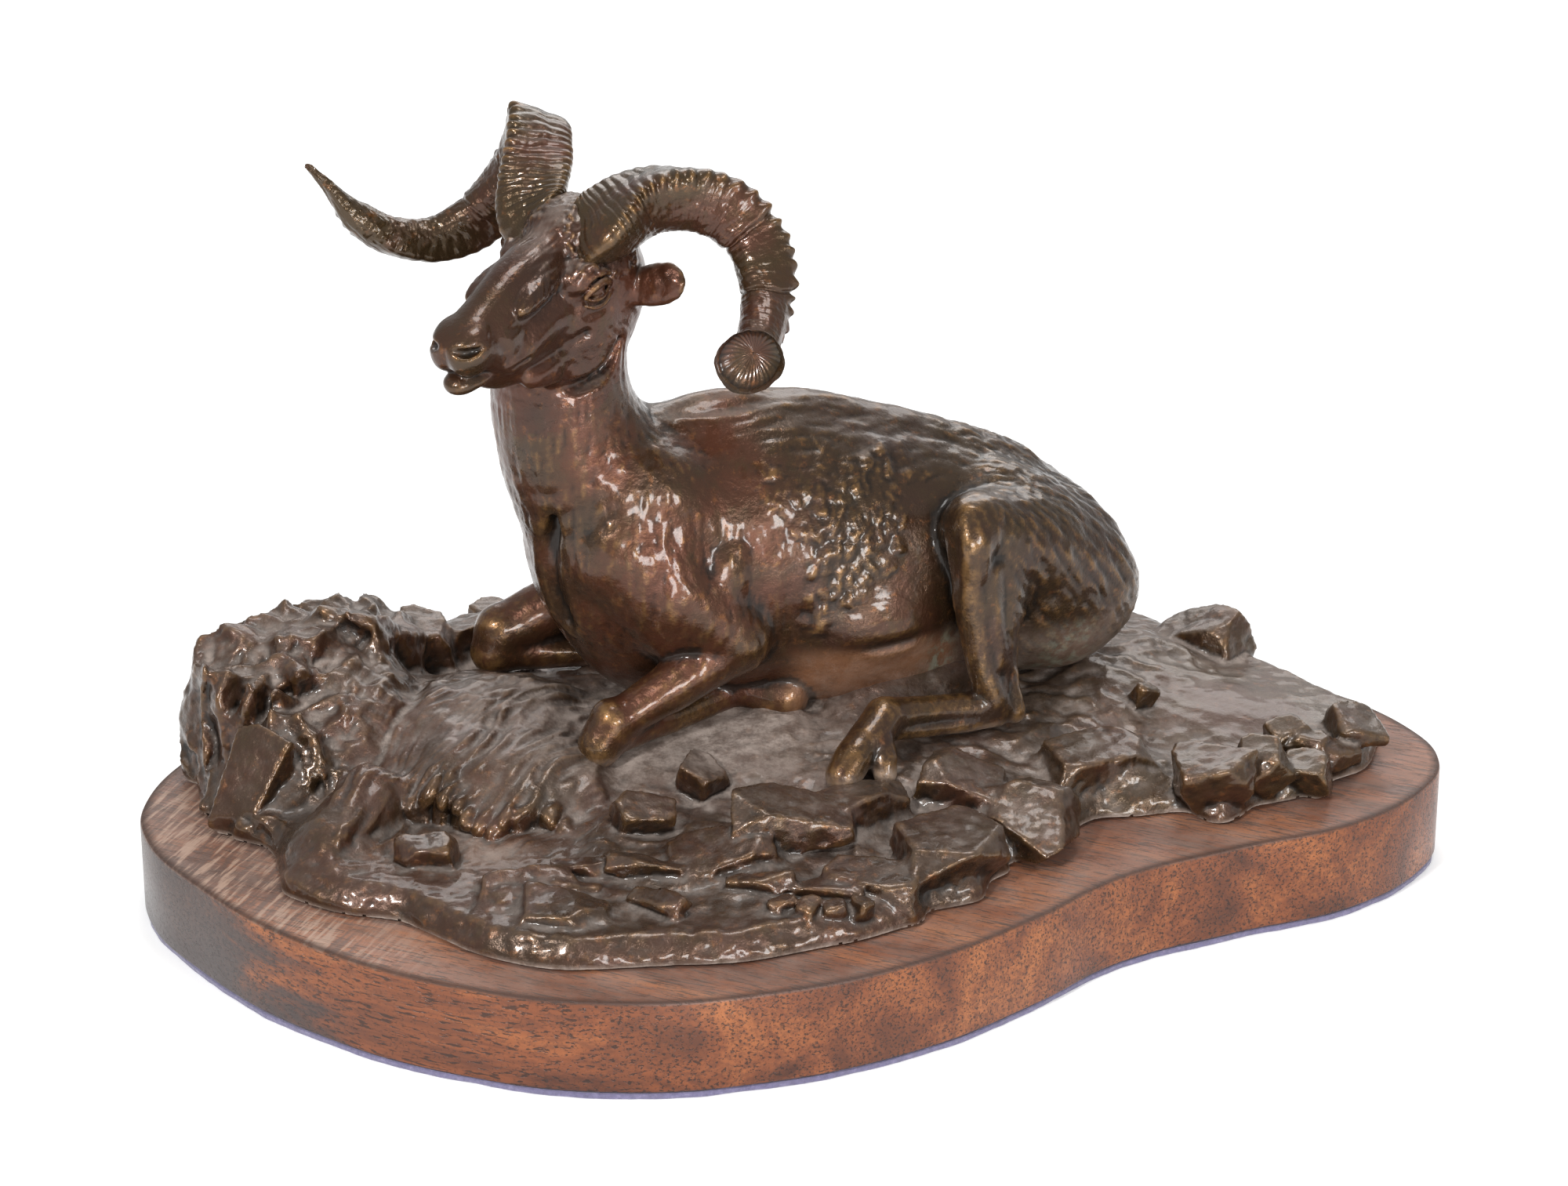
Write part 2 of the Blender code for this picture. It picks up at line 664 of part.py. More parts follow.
def make_screw(index, place, finish):
    under_head = WOOD_BOTTOM + COUNTERBORE_DEPTH - 2 * SEAT_GAP - WASHER_THICKNESS
    bottom = under_head - SCREW_HEAD_HEIGHT
    head = cylinder_mesh(SCREW_HEAD_RADIUS, bottom, under_head, place, HEAD_SIDES)
    screw = part_object(f"screw_{index + 1}", head, parts, finish)
    root = (bottom + SCREW_SOCKET_DEPTH + under_head) / 2
    shank = cylinder_mesh(SCREW_SHANK_RADIUS, root, screw_tip_height(), place, BORE_SIDES)
    cut(screw, cutter_object(f"shank_{index + 1}", shank), "UNION")
    low, high = bottom - CUT_OVERSHOOT, bottom + SCREW_SOCKET_DEPTH
    socket = cylinder_mesh(SCREW_SOCKET_RADIUS, low, high, place, SOCKET_SIDES)
    cut(screw, cutter_object(f"socket_{index + 1}", socket))
    return screw


clear_scene()
parts = new_collection("ram_bronze")
cutters = new_collection("cutters", hidden=True)

bronze = material("bronze", (0.085, 0.045, 0.026), 0.33, 1.0)
wood = material("mahogany", (0.23, 0.085, 0.035), 0.35, 0.0)
felt = material("felt", (0.10, 0.08, 0.22), 0.95, 0.0)
steel = material("zinc_plated_steel", (0.55, 0.55, 0.56), 0.35, 1.0)

make_casting(bronze)
make_plinth(wood)
make_felt(felt)
for number, screw_place in enumerate(SCREW_PLACES):
    make_washer(number, screw_place, steel)
    make_screw(number, screw_place, steel)
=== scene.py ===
"""Looks of the resting mountain ram: a patinated bronze on a mahogany plinth with felt under it.

The ram is sculpted as clay: rounded masses and limbs are blended in a block of signed
distances and meshed, and the modelling marks are then pressed into the mesh. Lengths in the
sculpting code are millimetres. The finished meshes are in metres, as Blender wants them.
"""

import math

import bmesh
import bpy
import numpy as np
from mathutils import Matrix, Vector


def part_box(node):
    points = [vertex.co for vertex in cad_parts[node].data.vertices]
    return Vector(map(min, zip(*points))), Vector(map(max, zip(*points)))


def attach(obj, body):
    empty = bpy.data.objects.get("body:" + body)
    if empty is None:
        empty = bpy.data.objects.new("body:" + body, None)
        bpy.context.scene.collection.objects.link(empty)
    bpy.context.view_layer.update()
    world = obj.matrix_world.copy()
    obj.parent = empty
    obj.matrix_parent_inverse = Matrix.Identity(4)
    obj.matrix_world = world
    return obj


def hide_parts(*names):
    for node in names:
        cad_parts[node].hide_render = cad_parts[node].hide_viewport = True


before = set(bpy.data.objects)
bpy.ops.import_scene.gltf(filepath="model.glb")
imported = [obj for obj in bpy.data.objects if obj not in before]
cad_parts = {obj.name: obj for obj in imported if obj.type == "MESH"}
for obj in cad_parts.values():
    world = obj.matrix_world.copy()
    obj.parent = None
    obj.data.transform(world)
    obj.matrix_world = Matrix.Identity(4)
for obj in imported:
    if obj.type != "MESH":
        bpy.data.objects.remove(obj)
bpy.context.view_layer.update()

MM = 0.001

# Where the ram lies, in the row's frame, in mm and degrees
CAST_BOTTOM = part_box("bronze_casting")[0].z / MM
WOOD_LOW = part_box("wood_plinth")[0].z / MM
WOOD_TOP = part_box("wood_plinth")[1].z / MM
FELT_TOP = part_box("felt_pad")[1].z / MM
BED_HEIGHT = 12.5
RAM_Y = 20.4
RAM_HEADING = 20.0
HEAD_PLACE = (-44.6, 0.0, 102.6)
HEAD_YAW = 34.0
HEAD_PITCH = 8.0

# The block of clay that the body is made in, and the head's in the head's own frame
BODY_LOW = (-78.0, -34.0, CAST_BOTTOM + 4.0)
BODY_HIGH = (78.0, 66.0, 140.0)
HEAD_LOW = (-22, -27, -38)
HEAD_HIGH = (46, 27, 9)

# Grid cells of the clay, in mm
BODY_CELL = 0.67
HEAD_CELL = 0.34
FAR = 20.0


def rotation(axis, degrees):
    """A 3 by 3 rotation about one of the axes x, y, z."""
    return np.array(Matrix.Rotation(math.radians(degrees), 3, axis))


class Place:
    """A frame of its own inside the row's frame, in mm."""

    def __init__(self, turn, origin):
        self.turn = np.asarray(turn, float)
        self.origin = np.asarray(origin, float)

    def out(self, points):
        return np.asarray(points, float) @ self.turn.T + self.origin

    def into(self, points):
        return (np.asarray(points, float) - self.origin) @ self.turn


RAM = Place(rotation("Z", RAM_HEADING), (0.0, RAM_Y, CAST_BOTTOM + BED_HEIGHT))
HEAD = Place(
    RAM.turn @ rotation("Z", 180.0 + HEAD_YAW) @ rotation("Y", HEAD_PITCH),
    RAM.out(HEAD_PLACE),
)


def step(values, low, high):
    """Smooth step from 0 at low to 1 at high."""
    share = np.clip((values - low) / (high - low), 0.0, 1.0)
    return share * share * (3.0 - 2.0 * share)


def bell(values, centre, width):
    return np.exp(-(((values - centre) / width) ** 2))


def smooth_min(a, b, blend):
    if blend <= 0.0:
        return np.minimum(a, b)
    share = np.clip(0.5 + 0.5 * (b - a) / blend, 0.0, 1.0)
    return b + (a - b) * share - blend * share * (1.0 - share)


def smooth_max(a, b, blend):
    return -smooth_min(-a, -b, blend)


LATTICE = [np.array(corner) - 1 for corner in np.ndindex(3, 3, 3)]
GRADIENTS = np.array([corner for corner in LATTICE if np.abs(corner).sum() == 2], float)


def scramble(cells, seed):
    """A repeatable whole number for each lattice cell."""
    primes = (np.uint32(73856093), np.uint32(19349663), np.uint32(83492791))
    whole = cells.astype(np.int64).astype(np.uint32)
    mixed = (whole[..., 0] * primes[0]) ^ (whole[..., 1] * primes[1]) ^ (whole[..., 2] * primes[2])
    mixed = mixed ^ np.uint32(seed * 2654435 + 12345)
    mixed = (mixed ^ (mixed >> np.uint32(15))) * np.uint32(2246822519)
    mixed = (mixed ^ (mixed >> np.uint32(13))) * np.uint32(3266489917)
    return mixed ^ (mixed >> np.uint32(16))


def noise(points, scale, seed=0):
    """Gradient noise, about -1 to 1. scale is its blobs' size in mm, one number or one an axis."""
    where = points / np.asarray(scale, float)
    cell = np.floor(where)
    part = where - cell
    fade = part**3 * (part * (part * 6.0 - 15.0) + 10.0)
    total = np.zeros(len(points))
    for corner in np.ndindex(2, 2, 2):
        offset = np.array(corner, float)
        picked = GRADIENTS[scramble(cell + offset, seed) % np.uint32(len(GRADIENTS))]
        dot = ((part - offset) * picked).sum(axis=1)
        weight = np.prod(np.where(offset > 0, fade, 1.0 - fade), axis=1)
        total += dot * weight
    return total


def layered(points, scale, octaves, seed=0, gain=0.5):
    """Noise with finer and weaker layers on top."""
    total = np.zeros(len(points))
    size = np.asarray(scale, float)
    strength = 1.0
    for octave in range(octaves):
        total += strength * noise(points, size, seed + octave)
        size = size / 2.03
        strength *= gain
    return total


def curve_through(points, steps):
    """Catmull-Rom curve through rows of numbers, with this many steps to a span."""
    rows = np.asarray(points, float)
    padded = np.vstack([2 * rows[0] - rows[1], rows, 2 * rows[-1] - rows[-2]])
    shares = np.linspace(0.0, 1.0, steps, endpoint=False)[:, None]
    spans = []
    for a, b, c, d in zip(padded, padded[1:], padded[2:], padded[3:]):
        bend = 2 * a - 5 * b + 4 * c - d
        twist = 3 * b - a - 3 * c + d
        spans.append(0.5 * (2 * b + (c - a) * shares + bend * shares**2 + twist * shares**3))
    return np.vstack(spans + [rows[-1:]])


class Clay:
    """A block of clay: distances in mm to the surface on a grid, negative inside."""

    def __init__(self, low, high, cell):
        self.low = np.asarray(low, float)
        self.cell = cell
        count = np.ceil((np.asarray(high, float) - self.low) / cell).astype(int) + 1
        self.field = np.full(count, FAR, np.float32)
        self.lines = [self.low[i] + cell * np.arange(count[i]) for i in range(3)]

    def patch(self, low, high):
        """The part of the grid inside this box, and its coordinates."""
        count = np.array(self.field.shape)
        first = np.clip(np.floor((low - self.low) / self.cell), 0, count - 1).astype(int)
        last = np.clip(np.ceil((high - self.low) / self.cell) + 1, 1, count).astype(int)
        where = tuple(slice(a, max(a + 1, b)) for a, b in zip(first, last))
        x, y, z = (self.lines[i][where[i]].astype(np.float32) for i in range(3))
        return where, (x[:, None, None], y[None, :, None], z[None, None, :])

    def put(self, where, distance, blend, carve):
        if carve:
            self.field[where] = smooth_max(self.field[where], -distance, blend)
        else:
            self.field[where] = smooth_min(self.field[where], distance, blend)

    def mass(self, place, centre, radii, turn=None, blend=3.0, carve=False):
        """An ellipsoid. turn is a 3 by 3 rotation inside the place's frame."""
        axes = place.turn @ (np.eye(3) if turn is None else turn)
        centre = place.out(centre)
        radii = np.asarray(radii, float)
        reach = np.sqrt((axes**2) @ radii**2) + blend + 2 * self.cell
        where, grid = self.patch(centre - reach, centre + reach)
        offset = [grid[i] - centre[i] for i in range(3)]
        local = [sum(axes[i, j] * offset[i] for i in range(3)) / radii[j] for j in range(3)]
        size = np.sqrt(local[0] ** 2 + local[1] ** 2 + local[2] ** 2) + 1e-6
        slope = np.sqrt(sum((local[j] / radii[j]) ** 2 for j in range(3))) + 1e-6
        self.put(where, size * (size - 1.0) / slope, blend, carve)

    def limb(self, place, points, blend=2.0, carve=False, steps=5):
        """A round limb through (x, y, z, radius) points."""
        rows = curve_through(points, steps)
        spots, radii = place.out(rows[:, :3]), rows[:, 3]
        reach = radii.max() + blend + 2 * self.cell
        where, grid = self.patch(spots.min(axis=0) - reach, spots.max(axis=0) + reach)
        distance = None
        for a, b, ra, rb in zip(spots, spots[1:], radii, radii[1:]):
            along = b - a
            share = sum((grid[i] - a[i]) * along[i] for i in range(3)) / max(float(along @ along), 1e-9)
            share = np.clip(share, 0.0, 1.0)
            away = np.sqrt(sum((grid[i] - a[i] - share * along[i]) ** 2 for i in range(3)))
            away = away - (ra + (rb - ra) * share)
            distance = away if distance is None else np.minimum(distance, away)
        self.put(where, distance, blend, carve)

    def skin(self):
        """Vertices and four-sided faces of the surface, by the surface net method."""
        field = self.field
        inside = field < 0.0
        n = np.array(field.shape)
        count = np.zeros(n - 1, np.uint8)
        for corner in np.ndindex(2, 2, 2):
            count += inside[tuple(slice(c, c + m - 1) for c, m in zip(corner, n))]
        cells = np.argwhere((count > 0) & (count < 8))
        number = np.full(n - 1, -1, np.int64)
        number[tuple(cells.T)] = np.arange(len(cells))
        total = np.zeros((len(cells), 3))
        hits = np.zeros(len(cells))
        for axis in range(3):
            others = [i for i in range(3) if i != axis]
            for corner in np.ndindex(2, 2):
                start = np.zeros(3, int)
                start[others] = corner
                end = start.copy()
                end[axis] = 1
                near = field[tuple((cells + start).T)].astype(float)
                far = field[tuple((cells + end).T)].astype(float)
                crossed = (near < 0) != (far < 0)
                share = np.where(crossed, near / np.where(crossed, near - far, 1.0), 0.0)
                spot = start[None, :] + share[:, None] * (end - start)[None, :]
                total += np.where(crossed[:, None], spot, 0.0)
                hits += crossed
        verts = self.low + self.cell * (cells + total / hits[:, None])
        faces = []
        for axis in range(3):
            others = [i for i in range(3) if i != axis]
            first = [slice(1, -1)] * 3
            first[axis] = slice(0, -1)
            second = list(first)
            second[axis] = slice(1, None)
            a, b = inside[tuple(first)], inside[tuple(second)]
            edges = np.argwhere(a != b)
            leaving = a[tuple(edges.T)]
            edges[:, others] += 1
            ring = []
            for shift in ((0, 0), (-1, 0), (-1, -1), (0, -1)):
                spot = edges.copy()
                spot[:, others[0]] += shift[0]
                spot[:, others[1]] += shift[1]
                ring.append(number[tuple(spot.T)])
            quads = np.stack(ring, axis=1)
            flip = leaving if axis == 1 else ~leaving
            quads[flip] = quads[flip][:, ::-1]
            faces.append(quads)
        return verts, np.vstack(faces)


def set_masks(mesh, masks):
    for title, values in masks.items():
        attribute = mesh.attributes.new(title, "FLOAT", "POINT")
        attribute.data.foreach_set("value", values.astype(np.float32))


def place_object(name, data):
    made = bpy.data.objects.new(name, data)
    bpy.context.scene.collection.objects.link(made)
    return made


class Skin:
    """A mesh that is worked on as arrays, in mm."""

    def __init__(self, verts, quads):
        self.points = np.asarray(verts, float)
        self.quads = np.asarray(quads, np.int64)
        self.masks = {}

    def keep(self, wanted):
        """Leaves only the faces whose corners are all wanted."""
        quads = self.quads[wanted[self.quads].all(axis=1)]
        used = np.unique(quads)
        number = np.full(len(self.points), -1, np.int64)
        number[used] = np.arange(len(used))
        self.points = self.points[used]
        self.quads = number[quads]
        self.masks = {name: values[used] for name, values in self.masks.items()}

    def normals(self):
        p = self.points[self.quads]
        face = np.cross(p[:, 2] - p[:, 0], p[:, 3] - p[:, 1])
        total = np.zeros_like(self.points)
        for corner in range(4):
            for axis in range(3):
                total[:, axis] += np.bincount(self.quads[:, corner], face[:, axis], len(total))
        return total / np.maximum(np.linalg.norm(total, axis=1), 1e-12)[:, None]

    def neighbours(self):
        ends = np.vstack([self.quads[:, [i, (i + 1) % 4]] for i in range(4)])
        ends = np.unique(np.sort(ends, axis=1), axis=0)
        degree = np.bincount(ends.ravel(), minlength=len(self.points))
        return ends, np.maximum(degree, 1)

    def mean_around(self, values, ends, degree):
        flat = values if values.ndim == 2 else values[:, None]
        total = np.zeros_like(flat)
        for axis in range(flat.shape[1]):
            total[:, axis] = np.bincount(ends[:, 0], flat[ends[:, 1], axis], len(flat))
            total[:, axis] += np.bincount(ends[:, 1], flat[ends[:, 0], axis], len(flat))
        total /= degree[:, None]
        return total if values.ndim == 2 else total[:, 0]

    def smooth(self, rounds):
        """Evens out grid steps with little shrinking."""
        ends, degree = self.neighbours()
        for _ in range(rounds):
            for factor in (0.5, -0.52):
                self.points += factor * (self.mean_around(self.points, ends, degree) - self.points)

    def push(self, amount):
        self.points += self.normals() * amount[:, None]

    def relief(self, rounds):
        """How far each vertex stands out of a softened copy, in mm."""
        ends, degree = self.neighbours()
        soft = self.points.copy()
        for _ in range(rounds):
            soft = 0.4 * soft + 0.6 * self.mean_around(soft, ends, degree)
        return ((self.points - soft) * self.normals()).sum(axis=1)

    def piece(self, name, finish):
        """The finished Blender object."""
        mesh = bpy.data.meshes.new(name)
        mesh.vertices.add(len(self.points))
        mesh.vertices.foreach_set("co", (self.points * MM).astype(np.float32).ravel())
        mesh.loops.add(self.quads.size)
        mesh.loops.foreach_set("vertex_index", self.quads.astype(np.int32).ravel())
        mesh.polygons.add(len(self.quads))
        mesh.polygons.foreach_set("loop_start", np.arange(0, self.quads.size, 4, dtype=np.int32))
        mesh.update(calc_edges=True)
        mesh.validate()
        mesh.shade_smooth()
        set_masks(mesh, self.masks)
        mesh.materials.append(finish)
        return place_object(name, mesh)


# Ram, in its own frame in mm: x towards the tail, y to its right, z up from the ground.
# Masses: centre, radii, tilt about y, turn about z, blend
BODY_MASSES = [
    ((-6, 0, 28), (42, 24, 31), 6, 0, 0),
    ((-18, 0, 43), (24, 11, 19), 8, 0, 8),
    ((20, 0, 24), (42, 25, 26), 9, 0, 8),
    ((42, -2, 18.5), (25, 22, 19), 18, 0, 6),
    ((-36, 0, 26), (15, 16, 24), -14, 0, 6),
    ((-30, -12, 38), (14, 9.0, 21), -24, 0, 4),
    ((-30, 12, 38), (14, 9.0, 21), -24, 0, 4),
    ((-43, -3.5, 30), (10, 9.5, 14), -12, 0, 3),
    ((-43, 5.5, 30), (10, 8.5, 14), -12, 0, 3),
    ((-37, -17, 36), (7.0, 5.5, 12), -38, 0, 2.5),
    ((-37, 17, 36), (7.0, 5.5, 12), -38, 0, 2.5),
    ((-24, -20, 30), (5.0, 4.5, 10), 24, 0, 2.5),
    ((-24, 20, 30), (5.0, 4.5, 10), 24, 0, 2.5),
    ((48, -15, 16.5), (19, 12, 16), 0, 0, 4),
    ((48, 14, 16.5), (19, 12, 16), 0, 0, 4),
    ((40, -13, 33), (14, 9, 10), 20, 0, 4),
    ((8, -9.5, 19), (21, 19.2, 16), 3, 0, 3),
    ((7, 7, 19), (24, 17.5, 14), 4, 0, 4),
    ((14, -8.5, 8), (26, 14.0, 12), 0, 0, 5),
    ((-33, -17, 30), (9, 7.5, 15), -12, 0, 3),
    ((44, -21, 22), (11, 7, 13), 12, 0, 4),
    ((31, -24, 33), (9, 6, 7), 40, 0, 3),
]

# Limbs: points from the body outwards as (x, y, z, radius)
LIMBS = {
    "neck": (
        [(-34, 0, 34, 20), (-45, 0, 55, 15.3), (-48.5, 0, 68, 13.4), (-47, 0, 84, 12.0), (-43, 0, 92, 11.0)],
        5,
    ),
    "left_upper_arm": ([(-41, -12, 37, 9.5), (-31, -17, 29, 9.2), (-20.5, -20, 20, 7.0)], 2),
    "left_forearm": (
        [(-20.5, -19.5, 19, 6.8), (-32, -21.5, 13.2, 5.2), (-42, -22, 8.2, 4.2), (-46, -22.5, 5.6, 4.4)],
        1.5,
    ),
    "left_knee": ([(-46.5, -22.5, 7.5, 4.2), (-49.0, -23, 2.6, 4.4)], 1.0),
    "left_fore_cannon": (
        [(-46, -22, 4, 4.0), (-32, -17, 3, 3.0), (-20, -12.5, 3.8, 3.4), (-17, -12.3, 4.6, 3.9)],
        1.2,
    ),
    "left_fore_hoof": ([(-15.0, -13.5, 4.6, 3.8), (-8.5, -15.5, 3.4, 5.2)], 0.8),
    "right_upper_arm": ([(-43, 13, 37, 10), (-24, 19, 19, 8)], 2),
    "right_forearm": ([(-24, 19, 18, 7.2), (-42, 21, 13, 6.2), (-55, 22, 8, 5.2)], 1.5),
    "right_knee": ([(-55.5, 22, 9, 4.6), (-57, 21.5, 4, 4.6)], 1.2),
    "right_fore_cannon": ([(-56, 22, 4, 4.4), (-40, 18, 3, 3.4), (-28, 15, 3, 4.0)], 1.5),
    "left_thigh": ([(49, -10, 22, 15), (38, -19.5, 30.5, 11.5), (27.6, -26.5, 38.5, 7.0)], 3),
    "left_stifle": ([(25.5, -28.5, 41.4, 4.4), (24.4, -30.5, 37.4, 5.2), (24.4, -31, 33, 4.4)], 1.3),
    "left_calf": ([(36, -22, 30, 8.5), (31.5, -27.5, 20, 5.2), (30, -30.5, 13, 3.0)], 2),
    "left_gaskin": (
        [(31, -25.5, 32, 7.4), (30, -28.5, 23, 6.2), (29.4, -31.6, 14, 4.2), (29.4, -33.6, 6, 3.2)],
        2,
    ),
    "left_shin": (
        [(24.0, -30.8, 34, 4.4), (24.6, -32.4, 24, 3.7), (26, -34.5, 12, 3.1), (27.6, -35.3, 6, 3.2)],
        1.0,
    ),
    "left_shin_muscle": ([(27.5, -31.0, 31, 3.8), (28.0, -33.4, 22, 2.6), (29.0, -35.2, 13, 1.6)], 0.8),
    "left_tendon": (
        [(34.5, -25.5, 26, 4.2), (32.8, -30, 17, 2.2), (32.2, -33.6, 9, 1.7), (32.2, -35.2, 2, 2.6)],
        0.8,
    ),
    "left_hind_cannon": ([(29.0, -35, 3.4, 3.2), (17, -36, 5.2, 2.9), (5, -38.6, 7.4, 3.5)], 1.0),
    "left_hind_sinew": ([(29, -36, 1.5, 1.8), (17, -37.6, 2.4, 1.8), (5, -40, 4.4, 2.2)], 0.6),
    "left_hind_fetlock": ([(3.5, -39.2, 7.4, 3.9), (-1.0, -42.8, 4.6, 3.9)], 0.8),
    "right_thigh": ([(49, 10, 20, 15), (26, 22, 22, 9)], 3),
    "right_shin": ([(28, 25, 22, 7), (42, 32, 5, 4.2)], 1.5),
    "right_hind_cannon": ([(42, 33, 3, 3.6), (14, 34, 2.5, 3.2), (2, 35, 1.5, 4.0)], 1.2),
    "right_hind_hoof": ([(1, 35, 1.5, 3.6), (-6, 36, 0.5, 4.2)], 0.8),
    "tail": ([(60, 0, 23, 4), (66.5, 0, 15, 3.4), (68, 0, 8, 2)], 1.5),
    "backbone": (
        [(-30, 0, 55, 2.2), (-16, 0, 59.4, 2.2), (2, 0, 57, 2.0), (24, 0, 49.5, 2.0), (46, 0, 38.5, 2.2)],
        6,
    ),
    "left_hip": ([(38, -12, 40, 3.4), (46, -16, 34, 3.0)], 4),
}

# Toes of the left hind foot, each a wedge from the fetlock down to the ground
TOES = [
    [(-1.0, -42.0, 5.4, 3.0), (-4.8, -45.0, 3.0, 3.7), (-7.6, -46.8, 0.2, 3.6)],
    [(1.4, -43.0, 4.6, 2.4), (1.0, -46.0, 2.0, 2.7), (0.6, -47.6, -0.4, 2.4)],
]

# Grooves and hollows cut into the body: points as (x, y, z, radius), and blend
GROOVES = [
    ([(25.8, -36.2, 30, 0.8), (26.4, -37.2, 21, 0.8), (27.8, -38.2, 11, 0.7)], 0.8),
    ([(31.0, -35.0, 27, 0.9), (30.9, -36.6, 17, 0.8), (31.0, -37.6, 9, 0.6)], 0.7),
    ([(19.0, -33.5, 42, 1.6), (18.2, -34.0, 32, 2.0), (19.0, -33.0, 20, 1.8)], 2.0),
    ([(15.5, -29.5, 45, 3.2), (15.8, -31.5, 38, 3.8), (17.0, -31.0, 30, 3.0)], 4.0),
    ([(-17.5, -25.5, 46, 1.4), (-16.5, -27.6, 34, 1.8), (-16, -28.0, 22, 1.6)], 2.5),
    ([(-18, -27.5, 15.5, 1.0), (-4, -28.6, 15.8, 1.3), (10, -28.8, 16.6, 1.3), (20, -27.6, 17.6, 1.1)], 1.6),
    ([(-3.5, -49.2, 2.2, 0.7), (-4.2, -51.5, -3.0, 0.9)], 0.5),
    ([(-34, -28.2, 17.5, 1.2), (-44, -28.0, 11.0, 1.1)], 1.5),
    ([(-52, -9.0, 46, 1.2), (-54.0, -8.0, 34, 1.4), (-51, -8.0, 23, 1.2)], 3.5),
    ([(-33, -25.5, 44, 1.0), (-38, -25.8, 33, 1.2), (-41, -25.0, 22, 1.0)], 2.5),
]


def add_body(clay):
    for centre, radii, tilt, turn, blend in BODY_MASSES:
        clay.mass(RAM, centre, radii, rotation("Z", turn) @ rotation("Y", tilt), blend)
    for points, blend in LIMBS.values():
        clay.limb(RAM, points, blend)
    for points in TOES:
        clay.limb(RAM, points, 0.8)
    for points, blend in GROOVES:
        clay.limb(RAM, points, blend, carve=True)


# Head, in its own frame in mm: x to the nose, y to the ram's left, z up, with its origin
# between the horns. Each mass is centre, radii, tilt about y, turn about z, blend, and
# it is made on both sides where y isn't 0.
HEAD_MASSES = [
    ((0.6, 0.0, -8.6), (11.0, 10.8, 10.0), 0, 0, 0),
    ((9.0, 0.0, -15.0), (13.5, 9.0, 12.0), 0, 0, 3),
    ((20.0, 0.0, -13.0), (16.0, 6.6, 10.6), 8, 0, 3),
    ((14.0, 0.0, -3.6), (17.0, 5.4, 4.9), 6, 0, 2),
    ((1.0, 0.0, -1.6), (9.0, 9.6, 6.0), -14, 0, 3),
    ((29.0, 0.0, -9.2), (9.5, 5.4, 5.8), 16, 0, 2.5),
    ((36.4, 2.5, -10.4), (5.2, 3.6, 4.4), 14, -10, 1.4),
    ((35.0, 0.0, -7.4), (6.2, 3.8, 2.6), 16, 0, 2.2),
    ((36.6, 3.0, -7.3), (3.4, 1.9, 1.3), 16, -14, 1.2),
    ((30.0, 3.8, -12.0), (4.6, 2.8, 4.6), 10, 0, 2.0),
    ((33.6, 0.0, -16.6), (7.2, 4.0, 2.1), 4, 0, 0.7),
    ((38.4, 0.0, -16.5), (2.8, 3.0, 1.9), 0, 0, 1.2),
    ((8.4, 6.6, -7.0), (5.6, 4.0, 4.2), 0, 14, 1.5),
    ((7.6, 8.3, -4.6), (4.2, 2.5, 1.9), 0, 12, 1.0),
    ((18.5, 4.9, -5.0), (8.4, 2.5, 2.5), 10, 10, 1.3),
    ((5.0, 7.0, -18.0), (7.4, 3.4, 9.4), 24, 4, 2.5),
    ((18.0, 5.0, -12.6), (8.4, 2.6, 3.0), 12, 8, 2.2),
    ((16.0, 4.4, -21.6), (10.5, 3.0, 4.6), -4, 6, 2.2),
    ((24.0, 4.6, -16.4), (7.0, 2.2, 2.2), -6, 6, 1.8),
    ((-2.0, 6.0, -15.0), (6.6, 4.6, 9.0), 0, 0, 3),
]

# Carved on both sides: points as (x, y, z, radius), and blend
MOUTH = [
    (42.0, 0.6, -14.4, 0.5),
    (39.8, 3.6, -14.7, 0.6),
    (36.5, 5.6, -15.4, 0.6),
    (32.0, 6.4, -16.2, 0.5),
    (26.0, 7.0, -15.8, 0.4),
]
NOSTRIL = [(41.2, 2.2, -8.2, 0.6), (40.2, 3.6, -8.7, 0.95), (38.6, 4.6, -8.9, 0.85), (37.4, 5.3, -8.6, 0.4)]
MUZZLE_FRONT = [(41.8, 0.0, -8.4, 0.4), (41.9, 0.0, -11.0, 0.5), (41.6, 0.0, -14.0, 0.4)]
MUZZLE_SIDE = [(32.8, 6.8, -8.6, 0.7), (31.6, 6.9, -11.5, 0.8), (31.2, 6.9, -14.0, 0.7)]
EYE_TO_NOSE = [
    (34.6, 6.6, -6.6, 0.6),
    (29.0, 7.0, -8.2, 0.9),
    (22.0, 7.9, -9.0, 1.2),
    (15.6, 9.0, -8.9, 1.2),
    (12.2, 9.8, -8.8, 0.6),
]
JAW_CREASE = [(28.0, 6.9, -17.8, 0.6), (20.0, 7.8, -18.6, 0.9), (12.0, 10.0, -16.6, 0.6)]
CHEEK_CREASE = [(11.6, 10.6, -13.0, 0.9), (8.0, 11.4, -13.2, 0.7)]
THROAT_CREASE = [
    (24.0, 5.6, -24.4, 0.8),
    (17.0, 7.4, -27.2, 1.2),
    (9.0, 9.4, -26.4, 1.2),
    (4.0, 10.4, -22.0, 0.8),
]
HEAD_GROOVES = [
    (MOUTH, 0.5),
    (NOSTRIL, 0.5),
    (MUZZLE_FRONT, 0.6),
    (MUZZLE_SIDE, 1.6),
    (EYE_TO_NOSE, 1.0),
    (JAW_CREASE, 1.6),
    (CHEEK_CREASE, 1.0),
    (THROAT_CREASE, 1.6),
]

